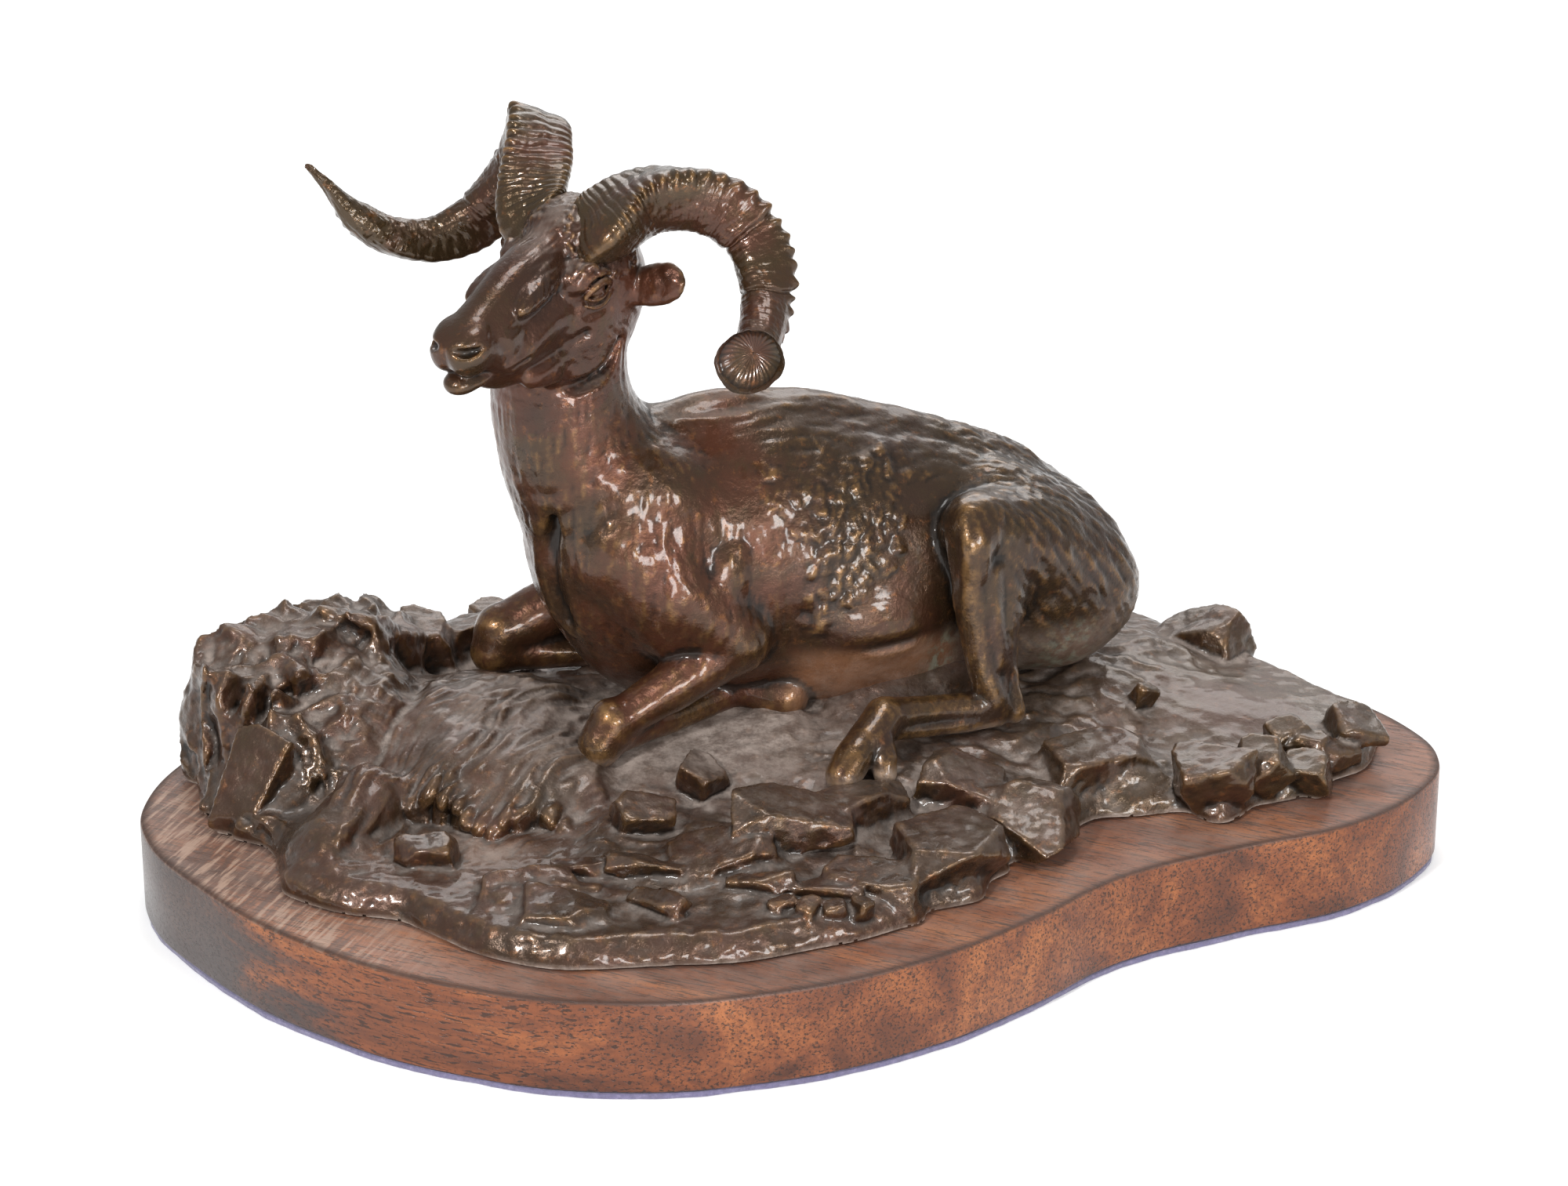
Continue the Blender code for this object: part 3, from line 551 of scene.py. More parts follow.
EYE = (8.3, 9.5, -8.9)
EYE_RADIUS = 2.0
EYE_SOCKET = (3.0, 1.9, 2.3)
UPPER_LID = [
    (11.6, 10.0, -9.2, 0.40),
    (10.2, 10.9, -7.9, 0.62),
    (8.3, 11.4, -7.3, 0.74),
    (6.3, 11.2, -7.9, 0.62),
    (4.9, 10.7, -9.0, 0.40),
]
LOWER_LID = [
    (11.6, 10.0, -9.5, 0.32),
    (10.0, 10.8, -10.3, 0.38),
    (8.2, 11.1, -10.5, 0.42),
    (6.4, 10.9, -10.1, 0.36),
    (5.0, 10.6, -9.3, 0.30),
]
UNDER_EYE = [
    (11.8, 9.8, -10.9, 0.30),
    (9.8, 10.7, -12.0, 0.44),
    (7.4, 11.0, -12.0, 0.44),
    (5.2, 10.8, -11.0, 0.30),
]
BROW = [(12.2, 9.0, -7.6, 0.40), (10.2, 10.3, -6.0, 0.60), (7.6, 10.9, -5.5, 0.66), (5.0, 10.6, -6.6, 0.45)]
LIDS = [UPPER_LID, LOWER_LID, UNDER_EYE, BROW]

# The ear's line, from its root to its tip
EAR = [(-1.6, 8.6, -14.2), (-2.6, 14.0, -12.9), (-3.4, 20.6, -10.2)]

# Masses of the ear's leaf: how far along it, and radii along, through and across it
EAR_LEAF = [(0.36, (5.4, 1.8, 3.4)), (0.58, (5.8, 1.45, 4.1)), (0.80, (4.0, 1.2, 3.6))]
EAR_FACING = (0.9, 0.0, 0.42)


def mirrored(points, side):
    """The same rows on the ram's left (1) or right (-1)."""
    return [(row[0], row[1] * side, *row[2:]) for row in points]


def add_ear(clay, side):
    rows = np.array(mirrored(EAR, side))
    along = rows[2] - rows[0]
    along /= np.linalg.norm(along)
    across = np.cross(along, EAR_FACING)
    across /= np.linalg.norm(across)
    facing = np.cross(across, along)
    turn = np.stack([along, facing, across], axis=1)
    clay.limb(HEAD, [(*rows[0], 2.8), (*(rows[0] * 0.6 + rows[1] * 0.4), 2.3)], 2.0)
    for share, size in EAR_LEAF:
        clay.mass(HEAD, rows[0] + (rows[2] - rows[0]) * share, size, turn, 1.0)
    cup = rows[0] + (rows[2] - rows[0]) * 0.56 - facing * 1.9 * side
    clay.mass(HEAD, cup, (5.4, 1.3, 2.2), turn, 0.7, carve=True)


def add_head(clay, fine):
    for centre, radii, tilt, turn, blend in HEAD_MASSES:
        for side in (1, -1) if centre[1] else (1,):
            spin = rotation("Z", turn * side) @ rotation("Y", tilt)
            clay.mass(HEAD, (centre[0], centre[1] * side, centre[2]), radii, spin, blend)
    if not fine:
        return
    for side in (1, -1):
        add_ear(clay, side)
        for points, blend in HEAD_GROOVES:
            clay.limb(HEAD, mirrored(points, side), blend, carve=True)
        socket = mirrored([EYE], side)[0]
        clay.mass(HEAD, np.array(socket) + (0, 1.4 * side, 0), EYE_SOCKET, None, 1.0, carve=True)
        clay.mass(HEAD, socket, (EYE_RADIUS,) * 3, None, 0.1)
        for points in LIDS:
            clay.limb(HEAD, mirrored(points, side), 0.35)


# Horn centre lines in the head's frame in mm, y measured outwards, with radii
HORNS = {
    1: [
        (3.6, 3.6, -4.0, 5.2),
        (1.4, 8.4, -0.6, 7.0),
        (-5.2, 12.8, 3.3, 7.2),
        (-9.7, 17.2, 3.6, 7.1),
        (-13.1, 21.8, 1.8, 6.8),
        (-14.6, 26.4, -1.1, 6.6),
        (-14.0, 30.9, -5.5, 6.0),
        (-10.9, 34.8, -10.0, 5.6),
        (-6.0, 38.2, -13.8, 5.0),
        (0.0, 41.1, -16.1, 4.6),
        (6.5, 43.6, -17.0, 4.6),
    ],
    -1: [
        (3.6, 3.6, -4.0, 5.2),
        (1.0, 9.0, -0.6, 6.6),
        (-7.6, 15.2, 6.2, 6.0),
        (-14.0, 20.6, 7.2, 5.6),
        (-16.2, 25.2, 1.0, 5.6),
        (-14.2, 30.0, -6.6, 5.7),
        (-9.7, 34.7, -11.9, 5.4),
        (-3.4, 39.5, -14.8, 4.7),
        (2.9, 44.3, -13.2, 4.3),
        (7.8, 49.5, -7.4, 3.3),
        (10.9, 55.2, 2.0, 1.2),
    ],
}

# The middle (x, z) that each horn curls round, and the mesh's rings and sides
CURL_CENTRE = {1: (-2.0, -7.0), -1: (-2.5, -5.0)}
HORN_RINGS = 620
HORN_SIDES = 120

# The horn's rounded triangle: each face's direction in degrees and its distance
HORN_FACES = [(2.0, 0.88), (114.0, 0.88), (176.0, 0.99), (-116.0, 0.90)]
HORN_CORNER = 3.0
KEEL_ANGLE = 58.0
FRONT_CENTRE = {1: -4.0, -1: -30.0}
FRONT_EDGE = {1: (0.40, 0.85), -1: (-0.15, 0.30)}

# Cracks across each horn: how far along it, and the depth in mm
CRACKS = {1: [(0.54, 0.6), (0.73, 0.7)], -1: [(0.42, 0.5), (0.57, 0.4)]}


def horn_profile(angle):
    """Distance from the horn's middle to its skin at this angle: a rounded triangle."""
    total = np.zeros_like(angle)
    for facing, distance in HORN_FACES:
        total += np.clip(np.cos(angle - math.radians(facing)) / distance, 0.0, None) ** HORN_CORNER
    return 0.93 / np.maximum(total, 0.2) ** (1.0 / HORN_CORNER)


def path_lengths(line):
    """How far along a line each of its points lies."""
    return np.concatenate([[0], np.cumsum(np.linalg.norm(np.diff(line, axis=0), axis=1))])


def unit(vectors):
    return vectors / np.linalg.norm(vectors, axis=1)[:, None]


def horn_line(side):
    """Evenly spaced points of the horn's middle, their radii, and their distances along it."""
    rows = curve_through(mirrored(HORNS[side], side), HORN_RINGS // 9)
    lengths = path_lengths(rows[:, :3])
    even = np.linspace(0, lengths[-1], HORN_RINGS)
    spots = np.stack([np.interp(even, lengths, rows[:, i]) for i in range(3)], axis=1)
    return spots, np.interp(even, lengths, rows[:, 3]), even


def horn_axes(side, spots):
    """At each point of the middle: ahead, away from the curl's centre, and across both."""
    ahead = unit(np.gradient(spots, axis=0))
    away_x, away_z = (spots[:, i] - centre for i, centre in zip((0, 2), CURL_CENTRE[side]))
    outward = np.stack([away_x, np.zeros(len(spots)), away_z], axis=1)
    outward -= (outward * ahead).sum(axis=1)[:, None] * ahead
    outward = unit(outward)
    lateral = np.cross(ahead, outward)
    lateral *= np.sign((lateral[:, 1] * side).mean())
    return ahead, outward, lateral


def horn_relief(side, even, ring, turn):
    """Growth rings, the keel, cracks and fine lines, in mm out of the horn's plain skin."""
    share = even / even[-1]
    s, u = even[ring], share[ring]
    off_keel = np.degrees(np.angle(np.exp(1j * (turn - math.radians(KEEL_ANGLE)))))
    keel = bell(off_keel, 0.0, 13.0)
    front = step(np.cos(turn - math.radians(FRONT_CENTRE[side])), *FRONT_EDGE[side])
    flat = np.stack([s.ravel(), 9 * np.cos(turn).ravel(), 9 * np.sin(turn).ravel()], axis=1)
    wobble, weight, fine = (
        noise(flat, scale, seed + side).reshape(s.shape)
        for scale, seed in (((5.0, 6.0, 6.0), 40), ((2.6, 5.0, 5.0), 50), ((0.55, 5.0, 5.0), 60))
    )
    spacing = 1.30 + 1.20 * step(share, 0.08, 0.45)
    phase = np.concatenate([[0], np.cumsum((even[1:] - even[:-1]) / spacing[1:])])[ring]
    phase = phase + 0.42 * wobble - 0.12 * keel + 0.5 * (1.0 - np.cos(turn)) * front
    wave = 0.5 + 0.5 * np.cos(2 * np.pi * phase)
    strength = 0.45 + 0.9 * np.clip(0.5 + weight, 0, 1)
    relief = 0.24 * front * (wave**0.7 - 0.5) * strength * (1.0 - 0.4 * step(u, 0.4, 0.8))
    relief += keel * (0.80 * wave**1.2 - 0.25) * strength * step(u, 0.10, 0.20)
    relief += 0.07 * (1 - front) * (wave - 0.5)
    relief = relief * (1.0 - step(u, 0.80, 0.97)) + 0.055 * fine
    relief += 0.20 * layered(flat, (4.5, 4.0, 4.0), 3, 70 + side).reshape(s.shape)
    for at, depth in CRACKS[side]:
        line = at * even[-1] + 1.3 * np.sin(turn - 0.9) + 0.9 * wobble
        relief -= depth * bell(s, line, 0.42)
        relief -= 0.30 * step(s, line, line + 0.4) * (1.0 - step(s, line + 0.4, line + 5.0))
    return relief


def horn_end(side, u, turn, radius):
    """The radius and the shift ahead at the left horn's broken cup or the right one's tip."""
    if side == 1:
        flare = step(u, 0.93, 1.0)
        radius = radius * (1.0 + 0.14 * flare + 0.08 * step(u, 0.985, 1.0))
        radius = radius * (1.0 + flare * 0.34 * np.abs(np.cos(turn - 2.28)) ** 2)
        return radius, 2.6 * flare * np.cos(turn - 0.4)
    pinch = step(u, 0.86, 0.97)
    radius = radius * (1.0 - 0.42 * pinch * np.abs(np.cos(turn - 0.5)) ** 3)
    return radius, 2.4 * step(u, 0.95, 1.0) * np.sin(turn - 0.5)


def closing_rows(side, last, ahead, angle):
    """Rings that close the end: a striated dish on the left, nearly flat on the right."""
    middle = last.mean(axis=0)
    depth = 3.0 if side == 1 else 0.15
    striate = 0.12 * np.sin(angle * 29) if side == 1 else 0.0 * angle
    rows = []
    for inner in np.linspace(0.93, 0.02, 16):
        dish = depth * (1 - inner**2) ** 0.6 + striate * inner * (1 - inner) * 2
        rows.append(middle + (last - middle) * inner - dish[:, None] * ahead)
    return np.array(rows)


def horn_skin(side):
    spots, radii, even = horn_line(side)
    ahead, outward, lateral = horn_axes(side, spots)
    angle = np.linspace(0, 2 * np.pi, HORN_SIDES, endpoint=False)
    ring, turn = np.meshgrid(np.arange(HORN_RINGS), angle, indexing="ij")
    u = (even / even[-1])[ring]
    rounder = step(u, 0.62, 0.92)
    profile = horn_profile(turn) * (1.0 - rounder) + 0.93 * rounder
    radius = radii[ring] * profile + horn_relief(side, even, ring, turn)
    radius, shift = horn_end(side, u, turn, radius)
    around = np.cos(turn)[..., None] * outward[ring] + np.sin(turn)[..., None] * lateral[ring]
    points = spots[ring] + radius[..., None] * around + shift[..., None] * ahead[ring]
    points = np.concatenate([points, closing_rows(side, points[-1], ahead[-1], angle)])
    index = np.arange(len(points) * HORN_SIDES).reshape(-1, HORN_SIDES)
    beside = np.roll(index, -1, axis=1)
    quads = np.stack([index[:-1], beside[:-1], beside[1:], index[1:]], axis=2).reshape(-1, 4)
    skin = Skin(HEAD.out(points.reshape(-1, 3)), quads)
    first = slice(0, HORN_SIDES * 20)
    if (skin.normals()[first] * (skin.points[first] - HEAD.out(spots[10]))).sum() < 0:
        skin.quads = skin.quads[:, ::-1]
    return skin


# Skin detail of the ram

# Clumps of coat on the left flank: a path of (x, z) points, how many clumps lie along it,
# their spread from it and the height of the tallest, in mm
TUFTS = [
    ([(20, 49), (8, 49), (0, 46), (-12, 50)], 46, 2.6, 0.8),
    ([(13, 47), (5, 46), (0, 42), (-1, 35), (-4, 28)], 60, 3.2, 1.25),
    ([(9, 44), (8, 38), (5, 33)], 26, 2.4, 1.1),
    ([(-5, 31), (-5, 26), (-3, 24)], 9, 1.2, 1.3),
    ([(3, 31), (2, 27)], 7, 1.0, 1.1),
]
TUFT_LEAN = -1.92


def tuft_relief(local):
    """Height of the hanging clumps: ridges that thicken downwards and end in a lip."""
    random = np.random.default_rng(17)
    spot = local[:, [0, 2]] + 0.6 * np.column_stack([noise(local, 3.0, 18), noise(local, 3.0, 19)])
    height = np.zeros(len(local))
    for path, count, spread, tallest in TUFTS:
        line = curve_through(path, 12)
        for _ in range(count):
            centre = line[random.integers(len(line))] + random.normal(0.0, spread, 2)
            lean = random.normal(TUFT_LEAN, 0.36)
            length, width = random.uniform(1.8, 4.2), random.uniform(0.9, 2.1)
            top = 0.60 * tallest * random.uniform(0.45, 1.0)
            offset = spot - centre
            along = offset @ np.array([math.cos(lean), math.sin(lean)])
            across = offset @ np.array([-math.sin(lean), math.cos(lean)])
            rise = step(along, -length, 0.5 * length) * (1.0 - step(along, 0.75 * length, length))
            height = np.maximum(height, top * rise * np.exp(-((across / width) ** 2)))
    return height * (0.8 + 0.5 * ridged(local, (1.8, 1.8, 3.4), 16))


def ram_marks(points):
    """How far the modelling marks push each vertex of the body out, in mm."""
    local = RAM.into(points)
    x, y, z = local.T
    left = step(-y, 6, 12)
    belly = bell(x, 12.0, 12.0) * bell(z, 25.0, 8.0) * left
    flank = bell(x, 15.0, 5.0) * bell(z, 38.0, 7.0) * left
    calm = 1.0 - 0.85 * np.maximum(belly, flank)
    broad = 0.26 * noise(local, 11.0, 3) + 0.14 * noise(local, 5.0, 4)
    strokes = layered(local, (6.5, 1.8, 2.2), 2, 7)
    neck = step(z, 30, 44) * (1 - step(x, -32, -18))
    down = layered(local, (1.7, 1.7, 9.0), 2, 9)
    coat = step(z, 40, 50) * step(x, -22, -8)
    haunch = step(x, 26, 36) * step(z, 4, 12)
    haunch_strokes = layered(local @ rotation("Y", -35), (1.7, 1.7, 8.0), 2, 11)
    shoulder = step(z, 8, 20) * (1 - step(z, 40, 48)) * (1 - step(x, -12, -2))
    scratch = noise(local @ rotation("Y", 12), (4.0, 0.6, 0.6), 12)
    marks = broad * calm
    leg = bell(x, 27, 7) * step(z, 4, 10) * step(-y, 24, 28)
    marks += 0.24 * strokes * coat
    marks += 0.22 * down * np.maximum(neck, 0.8 * shoulder)
    sinews = noise(local, (1.6, 1.6, 6.0), 14)
    marks += 0.40 * haunch_strokes * haunch * (1 - 0.6 * leg) + 0.20 * sinews * leg
    marks += 0.12 * scratch * belly + 0.06 * noise(local, 1.4, 13) * flank
    hide = (x > -26) & (x < 32) & (z > 14) & (z < 62) & (y < 0)
    marks[hide] += tuft_relief(local[hide]) * left[hide]
    marks += 0.06 * noise(local, 0.9, 15) * calm
    return marks


def head_marks(local):
    x, y, z = local.T
    fringe = step(x, 3, 7) * (1 - step(x, 16, 21)) * step(z, -8, -3) * (1 - bell(y, 0, 1.0) * 0.4)
    combed = noise(local, (4.5, 0.75, 1.2), 21)
    crown = (1 - step(x, 2, 8)) * step(z, -10, -4)
    tuft = noise(local, (1.3, 1.3, 2.4), 23)
    rest = layered(local, (4.0, 3.4, 3.4), 3, 25)
    face = step(x, 20, 26)
    marks = 0.10 * rest * (1 - 0.5 * face)
    ridge = bell(x, 19.0, 6.0) * bell(z, -5.0, 3.0) * step(np.abs(y), 3.5, 5.5)
    hairs = noise(local @ rotation("Y", -35), (0.9, 1.2, 4.0), 22)
    marks += (0.26 * hairs + 0.20 * noise(local, 2.4, 26)) * ridge
    jowl = (1 - step(x, 16, 24)) * (1 - step(z, -18, -12))
    marks += 0.14 * noise(local @ rotation("Y", 40), (1.2, 1.2, 5.0), 24) * jowl
    ear = step(np.abs(y), 12.5, 14.5) * (1 - step(x, 0, 3))
    marks += 0.24 * noise(local, (1.9, 2.4, 1.7), 28) * ear
    marks += 0.20 * combed * fringe + 0.34 * tuft * crown
    sides = np.column_stack([x, np.abs(y), z])
    base = np.linalg.norm(sides - np.array(HORNS[1][1][:3]), axis=1)
    marks += 0.6 * bell(base, 8.0, 1.1) * (0.5 + noise(local, 1.2, 27))
    return marks


NECK_CUT = np.array([0.42, 0.0, 0.91])
NECK_CUT_DISTANCE = 24.0


def neck_split(points):
    """Positive on the head's side of the cut between the two ram pieces."""
    return HEAD.into(points) @ NECK_CUT + NECK_CUT_DISTANCE


def make_ram_skins():
    clay = Clay(BODY_LOW, BODY_HIGH, BODY_CELL)
    add_body(clay)
    add_head(clay, fine=False)
    body = Skin(*clay.skin())
    body.smooth(3)
    body.push(ram_marks(body.points))
    body.keep(neck_split(body.points) < 0.6)
    corners = HEAD.out([np.where(corner, HEAD_HIGH, HEAD_LOW) for corner in np.ndindex(2, 2, 2)])
    clay = Clay(corners.min(axis=0), corners.max(axis=0), HEAD_CELL)
    clay.limb(RAM, LIMBS["neck"][0], 0.0)
    add_head(clay, fine=True)
    head = Skin(*clay.skin())
    head.smooth(2)
    local = HEAD.into(head.points)
    blend = step(neck_split(head.points), 0.0, 7.0)
    head.push(ram_marks(head.points) * (1 - blend) + head_marks(local) * blend)
    head.keep(neck_split(head.points) > -0.6)
    return body, head


# Ground, in the row's frame in mm

GROUND_OUTLINE = [
    (-115, -12), (-112.8, -22.7), (-104.5, -30), (-100.5, -34.4), (-98.3, -43.5),
    (-91.2, -52.8), (-83.4, -58.3), (-75.9, -60.5), (-66.6, -68), (-60.5, -73.3),
    (-53, -77.4), (-45.7, -79.8), (-38.5, -80.1), (-24.2, -78.6), (-9.8, -77.1),
    (4.6, -71.8), (11.9, -68.9), (19.3, -64.4), (23.4, -61.6), (24.8, -58), (31.3, -55.3),
    (35, -52.8), (36.6, -46.4), (40.2, -42.5), (41, -38), (48.5, -34), (53.5, -25.3),
    (58.3, -20.5), (66, -19.5), (75.3, -17.8), (79.6, -21.8), (82.6, -22.4), (85.8, -20.1),
    (89.3, -15.5), (93.2, -13.9), (98.9, -11.2), (105.7, -4.5), (112.4, 0.6), (115.7, 9.2),
    (117.2, 19.7), (109.1, 28.6), (94, 46), (76.4, 62), (60, 72.5), (42, 79), (24, 81.5),
    (5, 82), (-18, 77.5), (-42, 70), (-64, 57), (-85, 41), (-99, 25), (-110, 8),
]

# Mounds: centre (x, y), radii (x, y), height above the plinth, and how blunt the top is
MOUNDS = [
    ((-8, 12), (90, 64), 14.0, 2.4),
    ((52, 30), (46, 40), 12.5, 2.2),
    ((-62, -2), (38, 36), 18.0, 2.2),
    ((-58, -20), (33, 22), 17.0, 2.4),
    ((-20, -44), (46, 32), 8.5, 2.0),
    ((0, -38), (30, 22), 9.0, 2.0),
    ((29, -46), (14, 12), 8.0, 2.2),
    ((60, -10), (20, 16), 8.5, 2.2),
    ((82, 16), (34, 28), 8.6, 2.0),
    ((-88, 2), (24, 30), 21.0, 2.0),
    ((-88, -42), (13, 15), 10.0, 2.0),
]

# Blocks of the crag at the left: centre (x, y, height over the plinth), half sizes,
# and turns about z, x and y in degrees
CRAG = [
    ((-109, -3, 10), (8.5, 9, 12), (30, -8, 10)),
    ((-106, 7, 13), (8.5, 9, 12.5), (10, 5, 8)),
    ((-98, 11, 13), (8, 9, 13), (35, -8, -6)),
    ((-90, 15, 12), (8, 8, 13.5), (20, -12, 0)),
    ((-84, 23, 10), (6, 7, 12), (40, 0, 5)),
    ((-77, 31, 9), (7, 6, 9.5), (15, 5, 5)),
    ((-69, 38, 7), (6, 6, 8.0), (35, -5, 0)),
    ((-96, -2, 9), (9, 9, 12), (15, -18, 0)),
    ((-98, -16, 8), (7, 7, 9), (-20, -20, 0)),
    ((-99.5, -0.5, 20), (3.0, 4, 5.5), (15, 10, 0)),
    ((-97, -3.5, 14.5), (1.5, 5.0, 9.5), (-25, -20, 4)),
    ((-92.6, 0.5, 13.5), (1.7, 5.0, 8.5), (-22, -18, 2)),
    ((-104.2, -8, 15.5), (1.9, 6, 9), (-32, -25, 0)),
    ((-99, -11, 12), (1.7, 5.5, 8), (-35, -25, 0)),
    ((-88, 5, 12), (2.2, 4.0, 8), (-10, -22, 0)),
    ((-116, 0, 11), (3.0, 4.5, 4.5), (10, 0, 20)),
    ((-93, 20, 24), (3.4, 2.4, 2.2), (30, 10, 0)),
    ((-101, 14, 24.5), (3.8, 2.8, 2.2), (10, 5, 12)),
    ((-109, 8, 22.5), (3.0, 3.0, 2.4), (50, -5, 15)),
]
CRAG_BLENDS = [4.0] * 9 + [1.2] * 10

# The smooth slab that leans against the crag's left front
SLAB = ((-105.4, -21.8, 8.4), (6.3, 3.6, 11.2), (-39.5, -18, 12))

# Stones that lie on the ground, given in the same way
STONES = [
    ((-29.5, -38.8, 9.6), (5.8, 4.2, 3.6), (12, 16, 6)),
    ((-18.4, -24.4, 11.2), (4.8, 4.8, 3.0), (45, 14, 8)),
    ((-70.0, -47.0, 4.8), (5.6, 3.8, 3.4), (-22, 10, 0)),
    ((-41.3, -53.5, 6.0), (5.6, 2.4, 2.0), (2, 8, 0)),
    ((-28.0, -55.7, 5.0), (8.2, 2.2, 1.8), (-17, 6, 0)),
    ((-41.8, -60.4, 4.2), (4.8, 1.8, 1.6), (3, 5, 0)),
    ((-25.5, -66.5, 3.6), (6.4, 2.4, 1.9), (-36, 8, 0)),
    ((-7.0, -60.6, 4.6), (6.5, 1.9, 1.8), (12, 6, 0)),
    ((5.5, -60.6, 4.6), (6.5, 2.6, 1.7), (-3, 8, 0)),
    ((-3.0, -66.3, 3.4), (2.8, 1.8, 1.5), (20, 0, 0)),
    ((2.0, -67.2, 3.4), (2.6, 1.8, 1.7), (60, 0, 0)),
    ((7.0, -67.2, 3.2), (2.4, 1.8, 1.5), (10, 0, 0)),
    ((11.9, -66.0, 3.6), (2.1, 1.9, 1.9), (35, 0, 10)),
    ((-1.0, -42.5, 5.0), (11.5, 7.5, 4.6), (6, -9, 0)),
    ((-54.0, -63.0, 3.2), (3.0, 2.0, 1.7), (25, 10, 0)),
    ((80.0, -16.0, 2.6), (6.8, 5.6, 4.8), (10, 14, 8)),
    ((90.8, -10.8, 3.0), (4.4, 5.0, 4.2), (28, 10, -6)),
    ((99.8, -9.0, 2.4), (5.0, 4.2, 3.8), (-22, 12, 6)),
    ((96.5, 1.5, 4.2), (4.0, 3.4, 3.4), (24, 8, 0)),
    ((101.0, -1.5, 3.4), (2.8, 3.2, 3.0), (60, 0, 10)),
    ((110.8, 7.0, 2.8), (5.2, 5.6, 2.9), (22, 0, 8)),
    ((107.0, -1.5, 1.6), (5.4, 2.6, 2.2), (24, 6, 0)),
    ((68.6, 12.4, 10.0), (2.4, 2.2, 4.0), (30, 24, 10)),
    ((84.0, 47.0, 3.0), (9, 6, 4.0), (-35, 0, 0)),
    ((22.0, 70.0, 3.0), (10, 5, 4.5), (5, 0, 0)),
    ((-60.0, 50.0, 5.0), (8, 6, 5.0), (-30, 0, 0)),
]

# Broad broken faces that show through the soft ground, given in the same way
LUMPS = [
    ((28, -46, 5), (11, 7.5, 4.5), (20, 12, 6)),
    ((44, -31, 5), (8, 7.5, 4.5), (-18, 10, -6)),
    ((-14, -51, 4), (10, 5.5, 3.5), (14, 14, 0)),
    ((14, -57, 4), (9, 5, 3.5), (-12, 12, 4)),
    ((57, -12, 6), (10, 6.5, 4), (30, 10, 5)),
    ((-50, -60, 3), (9, 5, 3), (10, 12, 0)),
    ((12, -33, 7), (9, 6.5, 4.5), (32, -10, 8)),
    ((-44, -69, 3), (8, 4.5, 3), (-6, 14, 4)),
    ((32, -24, 9), (8, 6, 4), (-20, 8, 10)),
]

# The smooth roll of the left mound's corner: points as (x, y, height, radius)
ROLLS = [
    [(-82, -31, 8.5, 7.0), (-88, -40, 4.5, 7.0), (-91, -47, 0.5, 5.4)],
    [(-93.0, -49, 1.0, 3.6), (-86, -54.5, 1.0, 3.0), (-77, -57, 1.0, 2.4)],
]
ROLL_CREASE = [(-82.5, -47, 3.6, 1.3), (-87.5, -50.5, 3.0, 1.1), (-90, -50.5, 3.0, 0.8)]

# The fringe of the left mound, over the hollow with its stone: (x, y) points
FRINGE = [
    (-86.5, -46), (-83.1, -40.5), (-78.5, -34.5), (-68.5, -32.8), (-59.3, -38.6),
    (-49.5, -35.5), (-42.5, -38.5), (-37, -44),
]
STRAND_HEADING = 215.0
GROUND_CELL = 0.56
GROUND_SPLIT = -34.0


def closed_curve(points, steps):
    """Catmull-Rom curve round a closed outline."""
    rows = np.asarray(points, float)
    wrapped = np.vstack([rows[-1:], rows, rows[:2]])
    return curve_through(wrapped, steps)[steps : -steps - 1]


def outline_distance(points, line):
    """Distance to a closed outline, negative inside."""
    best = np.full(len(points), 1e9)
    inside = np.zeros(len(points), bool)
    for a, b in zip(line, np.roll(line, -1, axis=0)):
        along = b - a
        offset = points - a
        share = np.clip(offset @ along / max(along @ along, 1e-12), 0, 1)
        away = offset - share[:, None] * along
        best = np.minimum(best, (away**2).sum(axis=1))
        if along[1] != 0:
            crosses = (a[1] > points[:, 1]) != (b[1] > points[:, 1])
            at = a[0] + (points[:, 1] - a[1]) * along[0] / along[1]
            inside ^= crosses & (points[:, 0] < at)
    return np.where(inside, -np.sqrt(best), np.sqrt(best))


def strand_frame(points):
    """How far each point lies across and along the strands of the left mound, in mm."""
    heading = math.radians(STRAND_HEADING) - 0.012 * (points[:, 0] + 60.0)
    along = points[:, 0] * np.cos(heading) + points[:, 1] * np.sin(heading)
    across = points[:, 1] * np.cos(heading) - points[:, 0] * np.sin(heading)
    return across, along


def tail_flat(x, y):
    """1 on the calm flat ground behind the ram's tail, 0 far from it."""
    return bell(x, 92, 24) * bell(y, 16, 18)


